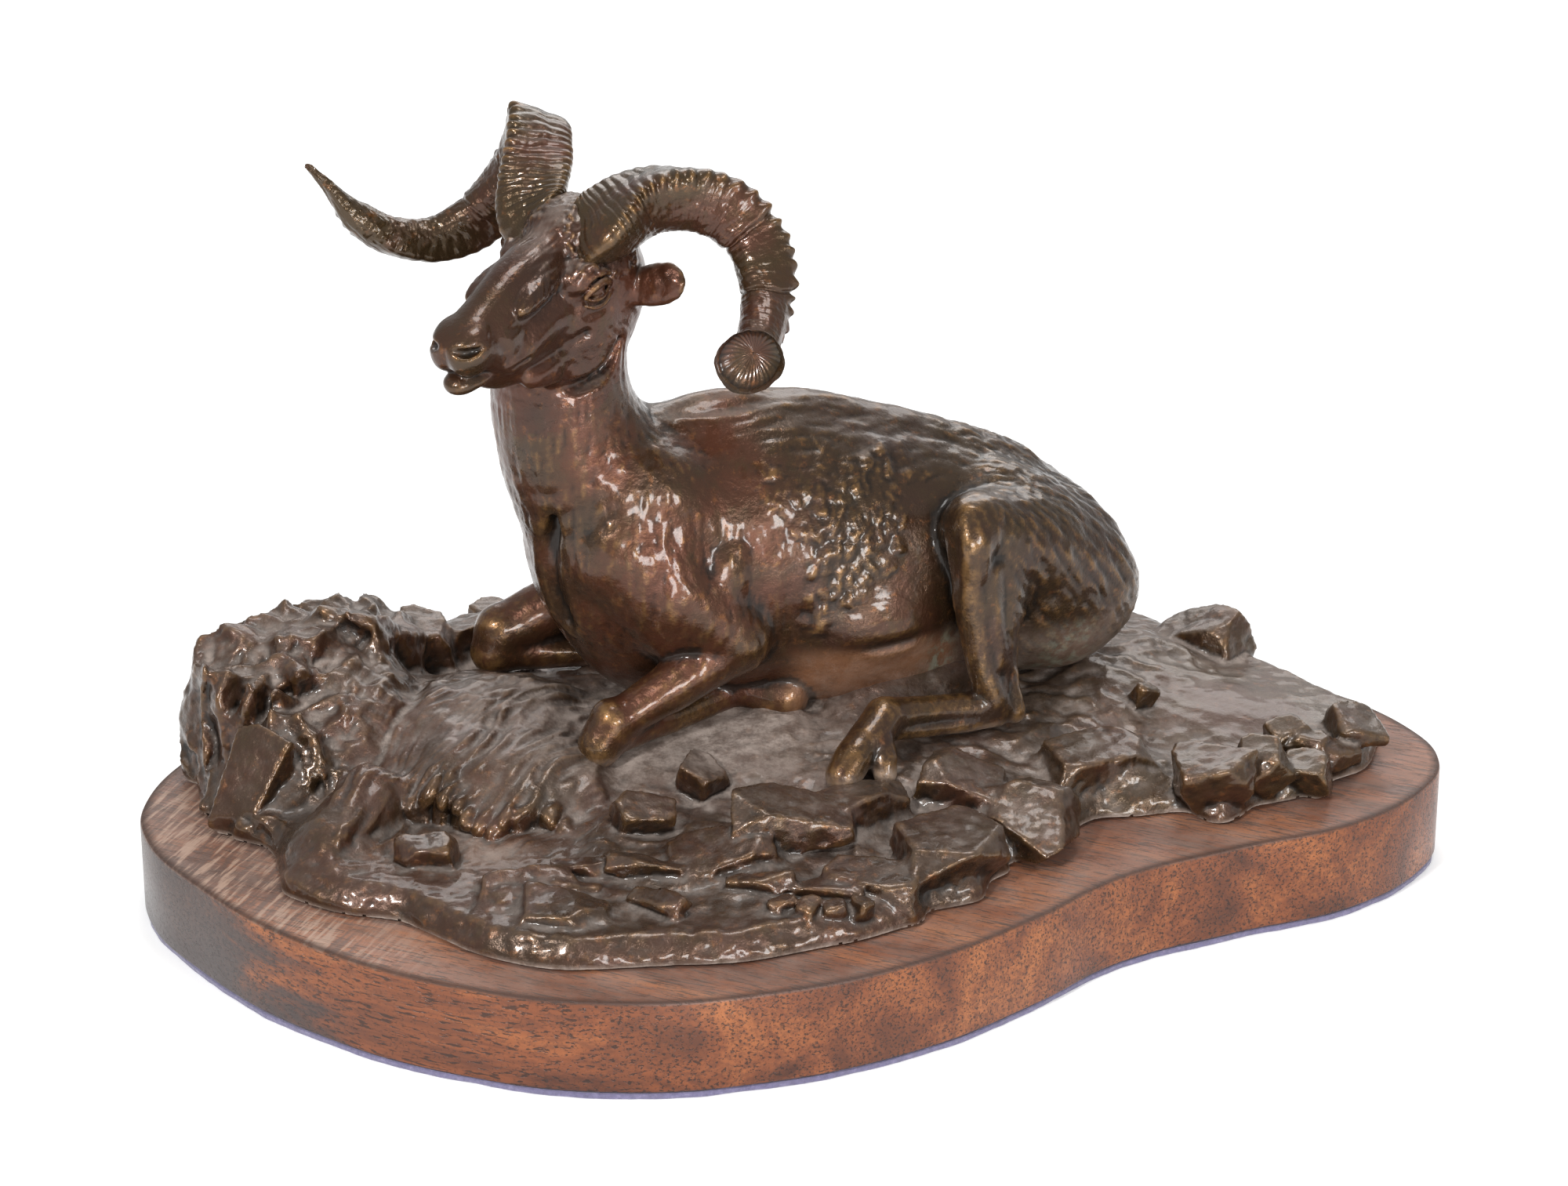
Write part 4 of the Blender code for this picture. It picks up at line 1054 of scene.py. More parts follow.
def ground_height(points):
    """Height of the soft ground over the plinth in mm at each (x, y)."""
    x, y = points.T
    spots = np.column_stack([points, np.zeros(len(points))])
    height = np.full(len(points), 1.6)
    for (cx, cy), (rx, ry), top, blunt in MOUNDS:
        away = np.sqrt(((x - cx) / rx) ** 2 + ((y - cy) / ry) ** 2)
        height = smooth_max(height, top * np.clip(1.0 - away**blunt, -1.0, 1.0), 2.2)
    line = curve_through(FRINGE, 6)
    edge_y = np.interp(x, line[:, 0], line[:, 1], left=-46.0, right=-44.0)
    scallop = 1.5 * np.abs(np.sin(x * 0.62 + 0.7 * np.sin(x * 0.37))) - 0.5
    below = edge_y - y - scallop
    span = step(x, -90, -84) * (1 - step(x, -46, -37))
    drop = step(below, -0.3, 1.1) * (1 - step(below, 13.0, 26.0)) * span
    hollow = 3.4 + 0.10 * np.abs(x + 66)
    height = np.where(height > hollow, height + (hollow - height) * drop * 0.94, height)
    thick = bell(below, -2.6, 2.6) * span
    height += 1.1 * thick
    rough = layered(spots, 13.0, 2, 80)
    torn = ridged(spots + 2.5 * noise(spots, 8.0, 83)[:, None], (8.0, 5.5, 8.0), 84)
    bed = bell(x, -30, 28) * bell(y, -12, 15)
    quiet = np.maximum(tail_flat(x, y), bed)
    height += rough * (1.3 - 1.1 * quiet) * (1 - 0.8 * drop)
    loose = (1 - quiet) * (1 - drop) * (1 - span * step(below, -30, -24))
    height += 0.75 * np.clip(torn, -0.2, 1.0) * loose
    lumps = noise(spots, 3.6, 86)
    lively = np.maximum(bell(x, 30, 14) * bell(y, -44, 12), bell(x, 60, 18) * bell(y, -12, 14))
    height += 0.9 * np.clip(lumps, -0.3, 1.0) * lively
    local = RAM.into(np.column_stack([points, np.full(len(points), RAM.origin[2])]))
    side = step(local[:, 1], -38, -21) * (1 - step(local[:, 1], 0, 12))
    bank = side * step(local[:, 0], -16, 12) * (1 - step(local[:, 0], 26, 46))
    return smooth_max(height, BED_HEIGHT - 7.0 + 15.0 * bank, 3.0)


def ground_marks(points):
    """How far strokes of the tool and strands of coat push the ground out, in mm."""
    x, y, z = points.T
    across, along = strand_frame(points)
    on_mound = step(x, -92, -84) * (1 - step(x, -40, -26)) * step(y, -46, -40) * (1 - step(y, 4, 14))
    wavy = np.column_stack([across + 5.0 * noise(points, 15, 95), along, x * 0])
    broad = ridged(wavy, (5.2, 15.0, 9.0), 96)
    strands = ridged(wavy, (1.7, 8.0, 9.0), 97)
    torn = step(noise(points, 12, 94), -0.15, 0.25)
    marks = on_mound * (0.95 * broad + 0.26 * strands) * (0.35 + 0.65 * torn)
    calm = np.maximum(tail_flat(x, y), 0.8 * bell(x, -30, 26) * bell(y, -12, 14))
    slab = bell(x, -106, 8) * bell(y, -26, 8)
    quiet = (1 - 0.7 * calm) * (1 - 0.6 * on_mound) * (1 - 0.5 * slab)
    return marks + 0.36 * layered(points, (4.0, 4.0, 3.2), 3, 98) * quiet


def block_planes(half, seed):
    """Outward directions and distances of the faces of one chipped block."""
    random = np.random.default_rng(seed)
    faces = []
    for axis in range(3):
        for sign in (-1, 1):
            facing = random.normal(0, 0.16, 3)
            facing[axis] = sign
            facing /= np.linalg.norm(facing)
            faces.append((facing, half[axis] * random.uniform(0.86, 1.04)))
    for corner in np.ndindex(2, 2, 2):
        sign = np.array(corner) * 2.0 - 1.0
        facing = sign / np.asarray(half) * np.exp(random.normal(0, 0.35, 3))
        facing /= np.linalg.norm(facing)
        reach = np.abs(facing) @ np.asarray(half)
        faces.append((facing, reach * random.uniform(0.66, 0.9)))
    return faces


def add_block(clay, block, seed, blend):
    (x, y, height), half, (about_z, about_x, about_y) = block
    axes = rotation("Z", about_z) @ rotation("X", about_x) @ rotation("Y", about_y)
    centre = np.array((x, y, CAST_BOTTOM + height))
    reach = np.linalg.norm(half) + 2.0
    where, grid = clay.patch(centre - reach, centre + reach)
    offset = [grid[i] - centre[i] for i in range(3)]
    distance = None
    for facing, out in block_planes(half, seed):
        world = axes @ facing
        plane = sum(world[i] * offset[i] for i in range(3)) - out
        distance = plane if distance is None else smooth_max(distance, plane, 0.25)
    clay.put(where, distance, blend, False)


GROUND_FRAME = Place(np.eye(3), (0, 0, CAST_BOTTOM))
GROUND_LOW = (-122.0, -84.0, CAST_BOTTOM - 1.2)
GROUND_HIGH = (120.5, 85.0, 54.5)
CRAG_LOW = (-122.0, -44.0, CAST_BOTTOM)
CRAG_HIGH = (-58.0, 52.0, 54.5)


def seated(block, height, clay, share):
    """The block, raised where needed to show this share of its half height over the ground."""
    (x, y, middle), half, turns = block
    spot = tuple(int(round((value - low) / clay.cell)) for value, low in zip((x, y), clay.low))
    return (x, y, max(middle, height[spot] + share * half[2])), half, turns


def ridged(points, scale, seed):
    """Sharp crests with rounded hollows between them, about -0.7 to 1."""
    return 1.0 - 2.4 * np.abs(noise(points, scale, seed))


def weather_crag(clay):
    """Folds and flutes that run down the crag, and small breaks on them."""
    where, grid = clay.patch(np.array(CRAG_LOW), np.array(CRAG_HIGH))
    field = clay.field[where]
    near = np.abs(field) < 4.0
    spots = np.column_stack([np.broadcast_to(axis, field.shape)[near] for axis in grid]).astype(float)
    bent = spots + 2.2 * np.column_stack([noise(spots, 9.0, seed) for seed in (101, 102, 103)])
    x, y, _ = spots.T
    reach = step(-x, 72, 84) * step(y + 0.5 * (-x - 90), -34, -22)
    folds = ridged(bent @ rotation("X", -14), (8.5, 9.5, 17.0), 104)
    breaks = ridged(bent, (3.6, 3.6, 6.5), 105)
    rough = step(noise(spots, 12.0, 106), -0.25, 0.30)
    field[near] -= ((1.7 * folds + 0.75 * breaks * rough) * reach).astype(np.float32)
    clay.field[where] = field


def add_fringe_knobs(clay):
    """Rounded ends of the strands along the lip over the hollow."""
    random = np.random.default_rng(33)
    line = curve_through(FRINGE, 24)
    lengths = path_lengths(line)
    at = 0.8
    while at < lengths[-1]:
        x, y = (np.interp(at, lengths, line[:, i]) for i in range(2))
        height = ground_height(np.array([[x, y + 3.0]]))[0]
        size = random.uniform(0.55, 1.0)
        radii = (1.2 * size, 2.8 * size, 1.7 * size)
        turn = rotation("Z", random.normal(-30, 16)) @ rotation("X", random.uniform(20, 45))
        x += random.normal(0, 0.5)
        y += 0.4 + random.normal(0, 0.6)
        clay.mass(GROUND_FRAME, (x, y, height - random.uniform(1.6, 3.2)), radii, turn, 1.2)
        at += random.uniform(1.6, 3.4) * size


def soft_ground(clay):
    """Fills the clay with the ground's soft shape, and returns its height at each (x, y)."""
    xs, ys, zs = clay.lines
    gx, gy = np.meshgrid(xs, ys, indexing="ij")
    points = np.column_stack([gx.ravel(), gy.ravel()])
    edge = outline_distance(points, closed_curve(GROUND_OUTLINE, 8))
    height = ground_height(points)
    margin = np.clip(-edge, 0.0, None)
    spots = np.column_stack([points, points[:, 0] * 0])
    cap = 1.2 + 0.5 * noise(spots, 7.0, 90) + 1.7 * margin**0.9
    height = np.maximum(smooth_min(height, cap, 1.0), 0.9).reshape(gx.shape)
    slope_x, slope_y = np.gradient(height, GROUND_CELL)
    steepness = np.sqrt(1.0 + slope_x**2 + slope_y**2)
    field = (zs[None, None, :] - CAST_BOTTOM - height[..., None]) / steepness[..., None]
    wall = edge.reshape(gx.shape)[..., None] + 0.0 * zs[None, None, :]
    clay.field = smooth_max(field, wall, 0.8).astype(np.float32)
    return height


def ground_skin():
    clay = Clay(GROUND_LOW, GROUND_HIGH, GROUND_CELL)
    height = soft_ground(clay)
    for points in ROLLS:
        clay.limb(GROUND_FRAME, points, 4.0)
    clay.limb(GROUND_FRAME, ROLL_CREASE, 0.8, carve=True)
    for number, (block, blend) in enumerate(zip(CRAG, CRAG_BLENDS)):
        add_block(clay, block, 200 + number, blend)
    weather_crag(clay)
    add_block(clay, SLAB, 208, 0.8)
    add_fringe_knobs(clay)
    for number, block in enumerate(LUMPS):
        add_block(clay, seated(block, height, clay, 0.0), 260 + number, 2.4)
    for number, block in enumerate(STONES):
        add_block(clay, seated(block, height, clay, 0.35), 300 + number, 0.7)
    below = CAST_BOTTOM - clay.lines[2]
    clay.field = np.maximum(clay.field, below[None, None, :].astype(np.float32))
    skin = Skin(*clay.skin())
    skin.smooth(1)
    over_edge = step(skin.points[:, 2], CAST_BOTTOM + 0.4, CAST_BOTTOM + 2.0)
    skin.push(ground_marks(skin.points) * over_edge)
    skin.points[:, 2] = np.maximum(skin.points[:, 2], CAST_BOTTOM)
    skin.keep(~((skin.points[:, 2] < CAST_BOTTOM + 0.3) & (skin.normals()[:, 2] < -0.8)))
    paint(skin, "ground")
    return skin


def halves(skin, at):
    """Two skins, left and right of this x, which meet without a gap."""
    middle = skin.points[skin.quads][:, :, 0].mean(axis=1)
    made = []
    for chosen in (middle < at, middle >= at):
        half = Skin(skin.points.copy(), skin.quads[chosen])
        half.masks = dict(skin.masks)
        half.keep(np.ones(len(half.points), bool))
        made.append(half)
    return made


# Materials


def new_material(name):
    made = bpy.data.materials.new(name)
    made.use_nodes = True
    tree = made.node_tree
    return made, tree, tree.nodes["Principled BSDF"]


class Nodes:
    """Short ways to add and join shader nodes."""

    def __init__(self, tree):
        self.tree = tree

    def add(self, kind, **settings):
        node = self.tree.nodes.new(kind)
        for name, value in settings.items():
            setattr(node, name, value)
        return node

    def link(self, output, entry):
        self.tree.links.new(output, entry)

    def attribute(self, name):
        return self.add("ShaderNodeAttribute", attribute_name=name).outputs["Fac"]

    def position(self):
        return self.add("ShaderNodeTexCoord").outputs["Object"]

    def scaled(self, vector, scale, turn=(0, 0, 0)):
        node = self.add("ShaderNodeMapping")
        node.inputs["Scale"].default_value = scale
        node.inputs["Rotation"].default_value = [math.radians(angle) for angle in turn]
        self.link(vector, node.inputs["Vector"])
        return node.outputs["Vector"]

    def noise(self, vector, scale, detail=4.0, roughness=0.55, distortion=0.0):
        node = self.add("ShaderNodeTexNoise")
        node.inputs["Scale"].default_value = scale
        node.inputs["Detail"].default_value = detail
        node.inputs["Roughness"].default_value = roughness
        node.inputs["Distortion"].default_value = distortion
        self.link(vector, node.inputs["Vector"])
        return node.outputs["Fac"]

    def ramp(self, value, stops):
        node = self.add("ShaderNodeValToRGB")
        ramp = node.color_ramp
        while len(ramp.elements) < len(stops):
            ramp.elements.new(0.5)
        for element, (at, colour) in zip(ramp.elements, stops):
            element.position = at
            element.color = (*colour, 1.0)
        self.link(value, node.inputs["Fac"])
        return node.outputs["Color"]

    def math(self, operation, a, b=None, clamp=False):
        node = self.add("ShaderNodeMath", operation=operation, use_clamp=clamp)
        for entry, value in zip(node.inputs, (a, b)):
            if value is None:
                continue
            if isinstance(value, (int, float)):
                entry.default_value = value
            else:
                self.link(value, entry)
        return node.outputs["Value"]

    def times(self, a, b, clamp=False):
        return self.math("MULTIPLY", a, b, clamp)

    def plus(self, a, b, clamp=False):
        return self.math("ADD", a, b, clamp)

    def minus(self, a, b, clamp=False):
        return self.math("SUBTRACT", a, b, clamp)

    def window(self, value, low, high):
        """0 below low, 1 above high, smooth in between."""
        node = self.add("ShaderNodeMapRange", interpolation_type="SMOOTHSTEP")
        node.inputs["From Min"].default_value = low
        node.inputs["From Max"].default_value = high
        self.link(value, node.inputs["Value"])
        return node.outputs["Result"]

    def mix(self, factor, a, b):
        node = self.add("ShaderNodeMix", data_type="RGBA")
        for entry, value in ((node.inputs["Factor"], factor), (node.inputs["A"], a), (node.inputs["B"], b)):
            if isinstance(value, (int, float)):
                entry.default_value = value
            elif isinstance(value, tuple):
                entry.default_value = (*value, 1.0)
            else:
                self.link(value, entry)
        return node.outputs["Result"]

    def bump(self, height, distance, strength=1.0, normal=None):
        node = self.add("ShaderNodeBump")
        node.inputs["Distance"].default_value = distance
        node.inputs["Strength"].default_value = strength
        self.link(height, node.inputs["Height"])
        if normal is not None:
            self.link(normal, node.inputs["Normal"])
        return node.outputs["Normal"]


DARK_BROWN = (0.042, 0.021, 0.013)
BLACK_BROWN = (0.004, 0.003, 0.002)
RED_BROWN = (0.102, 0.033, 0.016)
OLIVE = (0.058, 0.037, 0.015)
GOLD = (0.21, 0.112, 0.040)
DUST = (0.37, 0.305, 0.265)
ORANGE = (0.26, 0.100, 0.032)
VERDIGRIS = (0.22, 0.34, 0.26)

WOOD_BANDS = [(0.34, (0.060, 0.019, 0.010)), (0.50, (0.205, 0.060, 0.021)), (0.68, (0.37, 0.125, 0.040))]
FIBRE_BROWN = (0.085, 0.028, 0.015)
PORE_BROWN = (0.018, 0.009, 0.006)
FLECK_BROWN = (0.03, 0.014, 0.008)
# Painted shade with a grey film, for the board's left end
SHADE_AND_FILM_GREY = (0.048, 0.038, 0.036)
PALE_STREAK = (0.38, 0.245, 0.175)
DARK_STREAK = (0.075, 0.033, 0.022)
# Painted sheen: a grey reflection laid into the top's colour
TOP_SHEEN_GREY = (0.32, 0.235, 0.195)
RIM_BROWN = (0.035, 0.014, 0.008)

FELT_FIBRES = [(0.3, (0.07, 0.06, 0.13)), (0.55, (0.14, 0.125, 0.25)), (0.8, (0.34, 0.31, 0.46))]
FELT_BLOTCH = (0.28, 0.26, 0.33)
ZINC_TONES = [(0.3, (0.42, 0.42, 0.43)), (0.7, (0.62, 0.62, 0.60))]


def bronze_material():
    made, tree, shader = new_material("patinated_bronze")
    n = Nodes(tree)
    spot = n.position()
    cloud = n.noise(spot, 55.0, 5.0, 0.6)
    speck = n.noise(spot, 420.0, 4.0, 0.65)
    grain = n.noise(spot, 1500.0, 3.0, 0.6)
    red = n.times(n.attribute("red"), n.window(cloud, 0.30, 0.62))
    base = n.mix(red, DARK_BROWN, RED_BROWN)
    base = n.mix(n.times(n.attribute("olive"), n.window(cloud, 0.66, 0.40)), base, OLIVE)
    mottle = n.window(n.noise(n.scaled(spot, (1, 1, 0.45)), 240.0, 5.0, 0.7), 0.50, 0.72)
    base = n.mix(n.times(mottle, 0.55), base, OLIVE)
    base = n.mix(n.times(n.window(speck, 0.56, 0.75), 0.45), base, ORANGE)
    rub = n.times(n.attribute("rub"), n.window(speck, 0.30, 0.62))
    base = n.mix(rub, base, GOLD)
    base = n.mix(n.times(n.attribute("warm"), n.window(cloud, 0.25, 0.6)), base, ORANGE)
    base = n.mix(n.times(n.attribute("pit"), 0.85), base, BLACK_BROWN)
    green = n.times(n.attribute("green"), n.window(speck, 0.42, 0.62))
    base = n.mix(green, base, VERDIGRIS)
    dust_noise = n.window(n.plus(n.noise(spot, 150.0, 6.0, 0.7), n.times(grain, 0.25)), 0.48, 0.78)
    dust = n.times(n.attribute("dust"), n.plus(0.55, n.times(dust_noise, 0.70)), clamp=True)
    base = n.mix(dust, base, DUST)
    n.link(base, shader.inputs["Base Color"])
    dull = n.math("MAXIMUM", dust, n.times(green, 0.8))
    metal = n.minus(0.60, n.times(dull, 0.60), clamp=True)
    n.link(metal, shader.inputs["Metallic"])
    rough = n.plus(0.22, n.times(n.window(cloud, 0.3, 0.7), 0.14))
    rough = n.plus(rough, n.times(n.attribute("pit"), 0.22))
    rough = n.plus(rough, n.times(dull, 0.5), clamp=True)
    n.link(rough, shader.inputs["Roughness"])
    shader.inputs["Specular IOR Level"].default_value = 0.32
    n.link(n.minus(0.42, n.times(dull, 0.6), clamp=True), shader.inputs["Coat Weight"])
    shader.inputs["Coat Roughness"].default_value = 0.11
    normal = n.bump(n.noise(spot, 700.0, 4.0, 0.6), 0.00022, 0.8)
    normal = n.bump(grain, 0.00008, 0.7, normal)
    n.link(normal, shader.inputs["Normal"])
    return made


def wood_material():
    made, tree, shader = new_material("mahogany")
    n = Nodes(tree)
    spot = n.position()
    turned = n.scaled(spot, (1, 1, 1), (0, 0, 24))
    long = n.scaled(turned, (8.0, 75.0, 60.0))
    bands = n.noise(long, 1.0, 6.0, 0.62, 0.5)
    fibre = n.noise(n.scaled(turned, (70.0, 1100.0, 900.0)), 1.0, 4.0, 0.6)
    pores = n.noise(n.scaled(turned, (230.0, 2300.0, 1900.0)), 1.0, 2.0, 0.6)
    fleck = n.noise(spot, 1700.0, 2.0, 0.6)
    colour = n.ramp(bands, WOOD_BANDS)
    colour = n.mix(n.times(n.window(fibre, 0.42, 0.66), 0.55), colour, FIBRE_BROWN)
    pore = n.window(pores, 0.555, 0.62)
    colour = n.mix(n.times(pore, 0.80), colour, PORE_BROWN)
    colour = n.mix(n.times(n.window(fleck, 0.56, 0.66), 0.45), colour, FLECK_BROWN)
    along = n.add("ShaderNodeSeparateXYZ")
    n.link(spot, along.inputs["Vector"])
    uneven = n.plus(along.outputs["X"], n.times(n.minus(bands, 0.5), 0.12))
    top = n.attribute("top")
    # Painted shade with a grey film: the board's left end is darker and greyer, more on its side than on its
    # top
    left_shade_and_film = n.times(n.window(uneven, -0.086, -0.108), n.minus(0.92, n.times(top, 0.62)))
    colour = n.mix(left_shade_and_film, colour, SHADE_AND_FILM_GREY)
    steep = n.scaled(spot, (1, 1, 1), (0, 0, -66))
    streak = n.noise(n.scaled(steep, (95.0, 900.0, 900.0)), 1.0, 3.0, 0.6)
    left = n.times(n.window(along.outputs["X"], -0.060, -0.095), top)
    colour = n.mix(n.times(left, n.window(streak, 0.46, 0.62)), colour, PALE_STREAK)
    colour = n.mix(n.times(left, n.window(streak, 0.46, 0.34)), colour, DARK_STREAK)
    # Painted sheen: the top is greyed in patches as if it reflected the pale room, and its roughness rises
    # with it
    sheen_cloud = n.window(n.noise(spot, 90.0, 5.0, 0.65), 0.30, 0.75)
    top_sheen = n.times(top, n.plus(0.16, n.times(sheen_cloud, 0.30)))
    top_sheen = n.times(top_sheen, n.plus(0.55, n.times(fibre, 0.9)))
    colour = n.mix(top_sheen, colour, TOP_SHEEN_GREY)
    rim = n.attribute("rim")
    colour = n.mix(n.times(rim, 0.85), colour, RIM_BROWN)
    n.link(colour, shader.inputs["Base Color"])
    rough = n.plus(0.26, n.times(top_sheen, 0.75))
    n.link(rough, shader.inputs["Roughness"])
    shader.inputs["Specular IOR Level"].default_value = 0.40
    normal = n.bump(n.minus(1.0, pore), 0.00012, 0.6)
    normal = n.bump(fibre, 0.00006, 0.5, normal)
    n.link(normal, shader.inputs["Normal"])
    return made


def felt_material():
    made, tree, shader = new_material("violet_felt")
    n = Nodes(tree)
    spot = n.position()
    fuzz = n.noise(spot, 900.0, 6.0, 0.75)
    blotch = n.noise(spot, 140.0, 4.0, 0.6)
    colour = n.ramp(fuzz, FELT_FIBRES)
    colour = n.mix(n.times(blotch, 0.4), colour, FELT_BLOTCH)
    n.link(colour, shader.inputs["Base Color"])
    shader.inputs["Roughness"].default_value = 0.95
    shader.inputs["Sheen Weight"].default_value = 0.5
    n.link(n.bump(fuzz, 0.0004, 0.9), shader.inputs["Normal"])
    return made


def steel_material():
    made, tree, shader = new_material("zinc_plated_steel")
    n = Nodes(tree)
    spot = n.position()
    cloud = n.noise(spot, 400.0, 4.0, 0.6)
    colour = n.ramp(cloud, ZINC_TONES)
    n.link(colour, shader.inputs["Base Color"])
    shader.inputs["Metallic"].default_value = 1.0
    n.link(n.plus(0.28, n.times(cloud, 0.2)), shader.inputs["Roughness"])
    n.link(n.bump(n.noise(n.scaled(spot, (1, 1, 8)), 900.0, 3.0), 0.00005, 0.5), shader.inputs["Normal"])
    return made


# Plinth and felt

# All lengths in mm: the outline runs round the board from its left end over the front
PLINTH_OUTLINE = [
    (-127.8, -12), (-125.9, -27.6), (-114, -46.6), (-92.7, -68.3), (-62.6, -85.3),
    (-33.8, -91.6), (-5.4, -88), (23.4, -75.8), (45.9, -58.3), (61.5, -43.5), (84.8, -31.6),
    (108.6, -21.1), (124.1, -5.5), (128.1, 6), (124.1, 20), (100, 45.5), (76.7, 67.2),
    (45, 87), (5, 91.1), (-45, 79), (-92, 47.5), (-117.5, 14),
]


OUTLINE_STEPS = 20
VISUAL_INSET = 0.08
ROUNDING = 0.6

# Holes for the casting's screws: places, radii and the counterbores' depth
SCREW_PLACES = [(-68.0, -10.0), (64.0, 10.0), (-6.0, 48.0)]
SCREW_HOLE = 2.9
COUNTERBORE = 6.8
COUNTERBORE_DEPTH = 6.5
SHARP_ANGLE = math.radians(30)


def plinth_outline():
    """The smooth closed outline that a curve object with automatic handles draws."""
    curve = bpy.data.curves.new("outline", "CURVE")
    curve.dimensions = "2D"
    curve.resolution_u = OUTLINE_STEPS
    spline = curve.splines.new("BEZIER")
    spline.bezier_points.add(len(PLINTH_OUTLINE) - 1)
    for point, (x, y) in zip(spline.bezier_points, PLINTH_OUTLINE):
        point.co = (x, y, 0)
        point.handle_left_type = "AUTO"
        point.handle_right_type = "AUTO"
    spline.use_cyclic_u = True
    holder = place_object("outline", curve)
    bpy.context.view_layer.update()
    drawn = np.array([vert.co[:2] for vert in holder.to_mesh().vertices])
    holder.to_mesh_clear()
    bpy.data.objects.remove(holder)
    return drawn


def signed_area(outline):
    """Area of a closed outline, positive where it runs anticlockwise."""
    x, y = outline.T
    return 0.5 * (x * np.roll(y, -1) - np.roll(x, -1) * y).sum()


def inset(outline, amount):
    ahead = unit(np.roll(outline, -1, axis=0) - np.roll(outline, 1, axis=0))
    inward = np.column_stack([-ahead[:, 1], ahead[:, 0]])
    if signed_area(outline) < 0:
        inward = -inward
    return outline + inward * np.reshape(amount, (-1, 1))


def at_height(outline, height):
    return np.column_stack([outline, np.full(len(outline), height)])


def slab_piece(name, rings, finish):
    """A closed slab through rings of points, bottom to top, with flat ends."""
    mesh = bpy.data.meshes.new(name)
    work = bmesh.new()
    rows = [[work.verts.new(Vector(point) * MM) for point in ring] for ring in rings]
    for low, high in zip(rows, rows[1:]):
        for i in range(len(low)):
            j = (i + 1) % len(low)
            work.faces.new((low[i], low[j], high[j], high[i]))
    work.faces.new(rows[-1])
    work.faces.new(list(reversed(rows[0])))
    bmesh.ops.recalc_face_normals(work, faces=work.faces)
    work.to_mesh(mesh)
    work.free()
    mesh.shade_smooth()
    mesh.set_sharp_from_angle(angle=SHARP_ANGLE)
    mesh.materials.append(finish)
    return place_object(name, mesh)


def drill(board, place):
    """Cuts one screw hole with its counterbore from below."""
    angle = np.linspace(0, 2 * np.pi, 48, endpoint=False)
    circle = np.column_stack([np.cos(angle), np.sin(angle)])
    floor = WOOD_LOW + COUNTERBORE_DEPTH
    levels = [(COUNTERBORE, WOOD_LOW - 2), (COUNTERBORE, floor)]
    levels += [(SCREW_HOLE, floor), (SCREW_HOLE, WOOD_TOP + 2)]
    rings = [at_height(circle * radius + place, height) for radius, height in levels]
    cutter = slab_piece("cutter", rings, board.data.materials[0])
    cut = board.modifiers.new("hole", "BOOLEAN")
    cut.operation = "DIFFERENCE"
    cut.object = cutter
    shown = board.evaluated_get(bpy.context.evaluated_depsgraph_get())
    board.data = bpy.data.meshes.new_from_object(shown)
    board.modifiers.clear()
    bpy.data.objects.remove(cutter)


def make_plinth(finish):
    outline = inset(plinth_outline(), VISUAL_INSET)
    levels = [(ROUNDING, WOOD_LOW), (0.18, WOOD_LOW + 0.18), (0.0, WOOD_LOW + ROUNDING)]
    levels += [(0.0, WOOD_TOP - ROUNDING), (0.18, WOOD_TOP - 0.18), (ROUNDING, WOOD_TOP), (2.2, WOOD_TOP)]
    board = slab_piece("plinth", [at_height(inset(outline, depth), z) for depth, z in levels], finish)
    for place in SCREW_PLACES:
        drill(board, place)
    mesh = board.data
    spots = np.array([vert.co[:] for vert in mesh.vertices]) / MM
    edge = -outline_distance(spots[:, :2], outline)
    top = step(spots[:, 2], WOOD_TOP - 0.7, WOOD_TOP - 0.05)
    rim = top * (1 - step(edge, 0.5, 2.0)) + 0.5 * (1 - step(spots[:, 2], WOOD_LOW, WOOD_LOW + 0.5))
    set_masks(mesh, {"top": top, "rim": rim})
    mesh.shade_smooth()
    mesh.set_sharp_from_angle(angle=SHARP_ANGLE)
    return board


def make_felt(finish):
    outline = inset(plinth_outline(), VISUAL_INSET)
    ragged = 0.35 + 0.45 * layered(at_height(outline, 0.0), 14.0, 4, 91, 0.6)
    ragged = np.clip(ragged, -0.25, 1.2)
    levels = [(ragged + 0.25, 0.0), (ragged, 0.3), (ragged + 0.05, FELT_TOP - 0.2), (ragged + 0.3, FELT_TOP)]
    return slab_piece("felt_sheet", [at_height(inset(outline, depth), z) for depth, z in levels], finish)


# Masks for the bronze


def ground_patina(points, up, wide):
    x, y, z = points.T
    sheltered = step(-wide, -0.15, 0.60)
    dust = step(up, 0.15, 0.90) * (0.22 + 0.78 * sheltered)
    bed = bell(x, -24, 42) * bell(y, -8, 22)
    back = step(y, 10, 40)
    laid = np.maximum(0.95 * bed, 0.3 * back) * step(up, 0.6, 0.97)
    dust = np.maximum(dust * (0.65 + 0.35 * bed), laid)
    dust = dust * (1.0 - 0.40 * step(-y - 0.35 * x, 42, 56))
    dust = np.maximum(dust, 0.9 * bell(z - CAST_BOTTOM, 0.2, 0.6))
    low = 1 - step(z, CAST_BOTTOM + 5, CAST_BOTTOM + 7.5)
    hollow = bell(x, -64, 18) * bell(y, -43, 8) * low
    return {
        "red": np.maximum(0.30, 0.75 * bell(x, -60, 34) * bell(y, -22, 24)),
        "olive": 0.30 + 0.35 * step(x, 20, 80),
        "dust": np.maximum(dust, 0.75 * hollow * step(up, 0.3, 0.9)),
        "warm": 0.45 * hollow,
    }


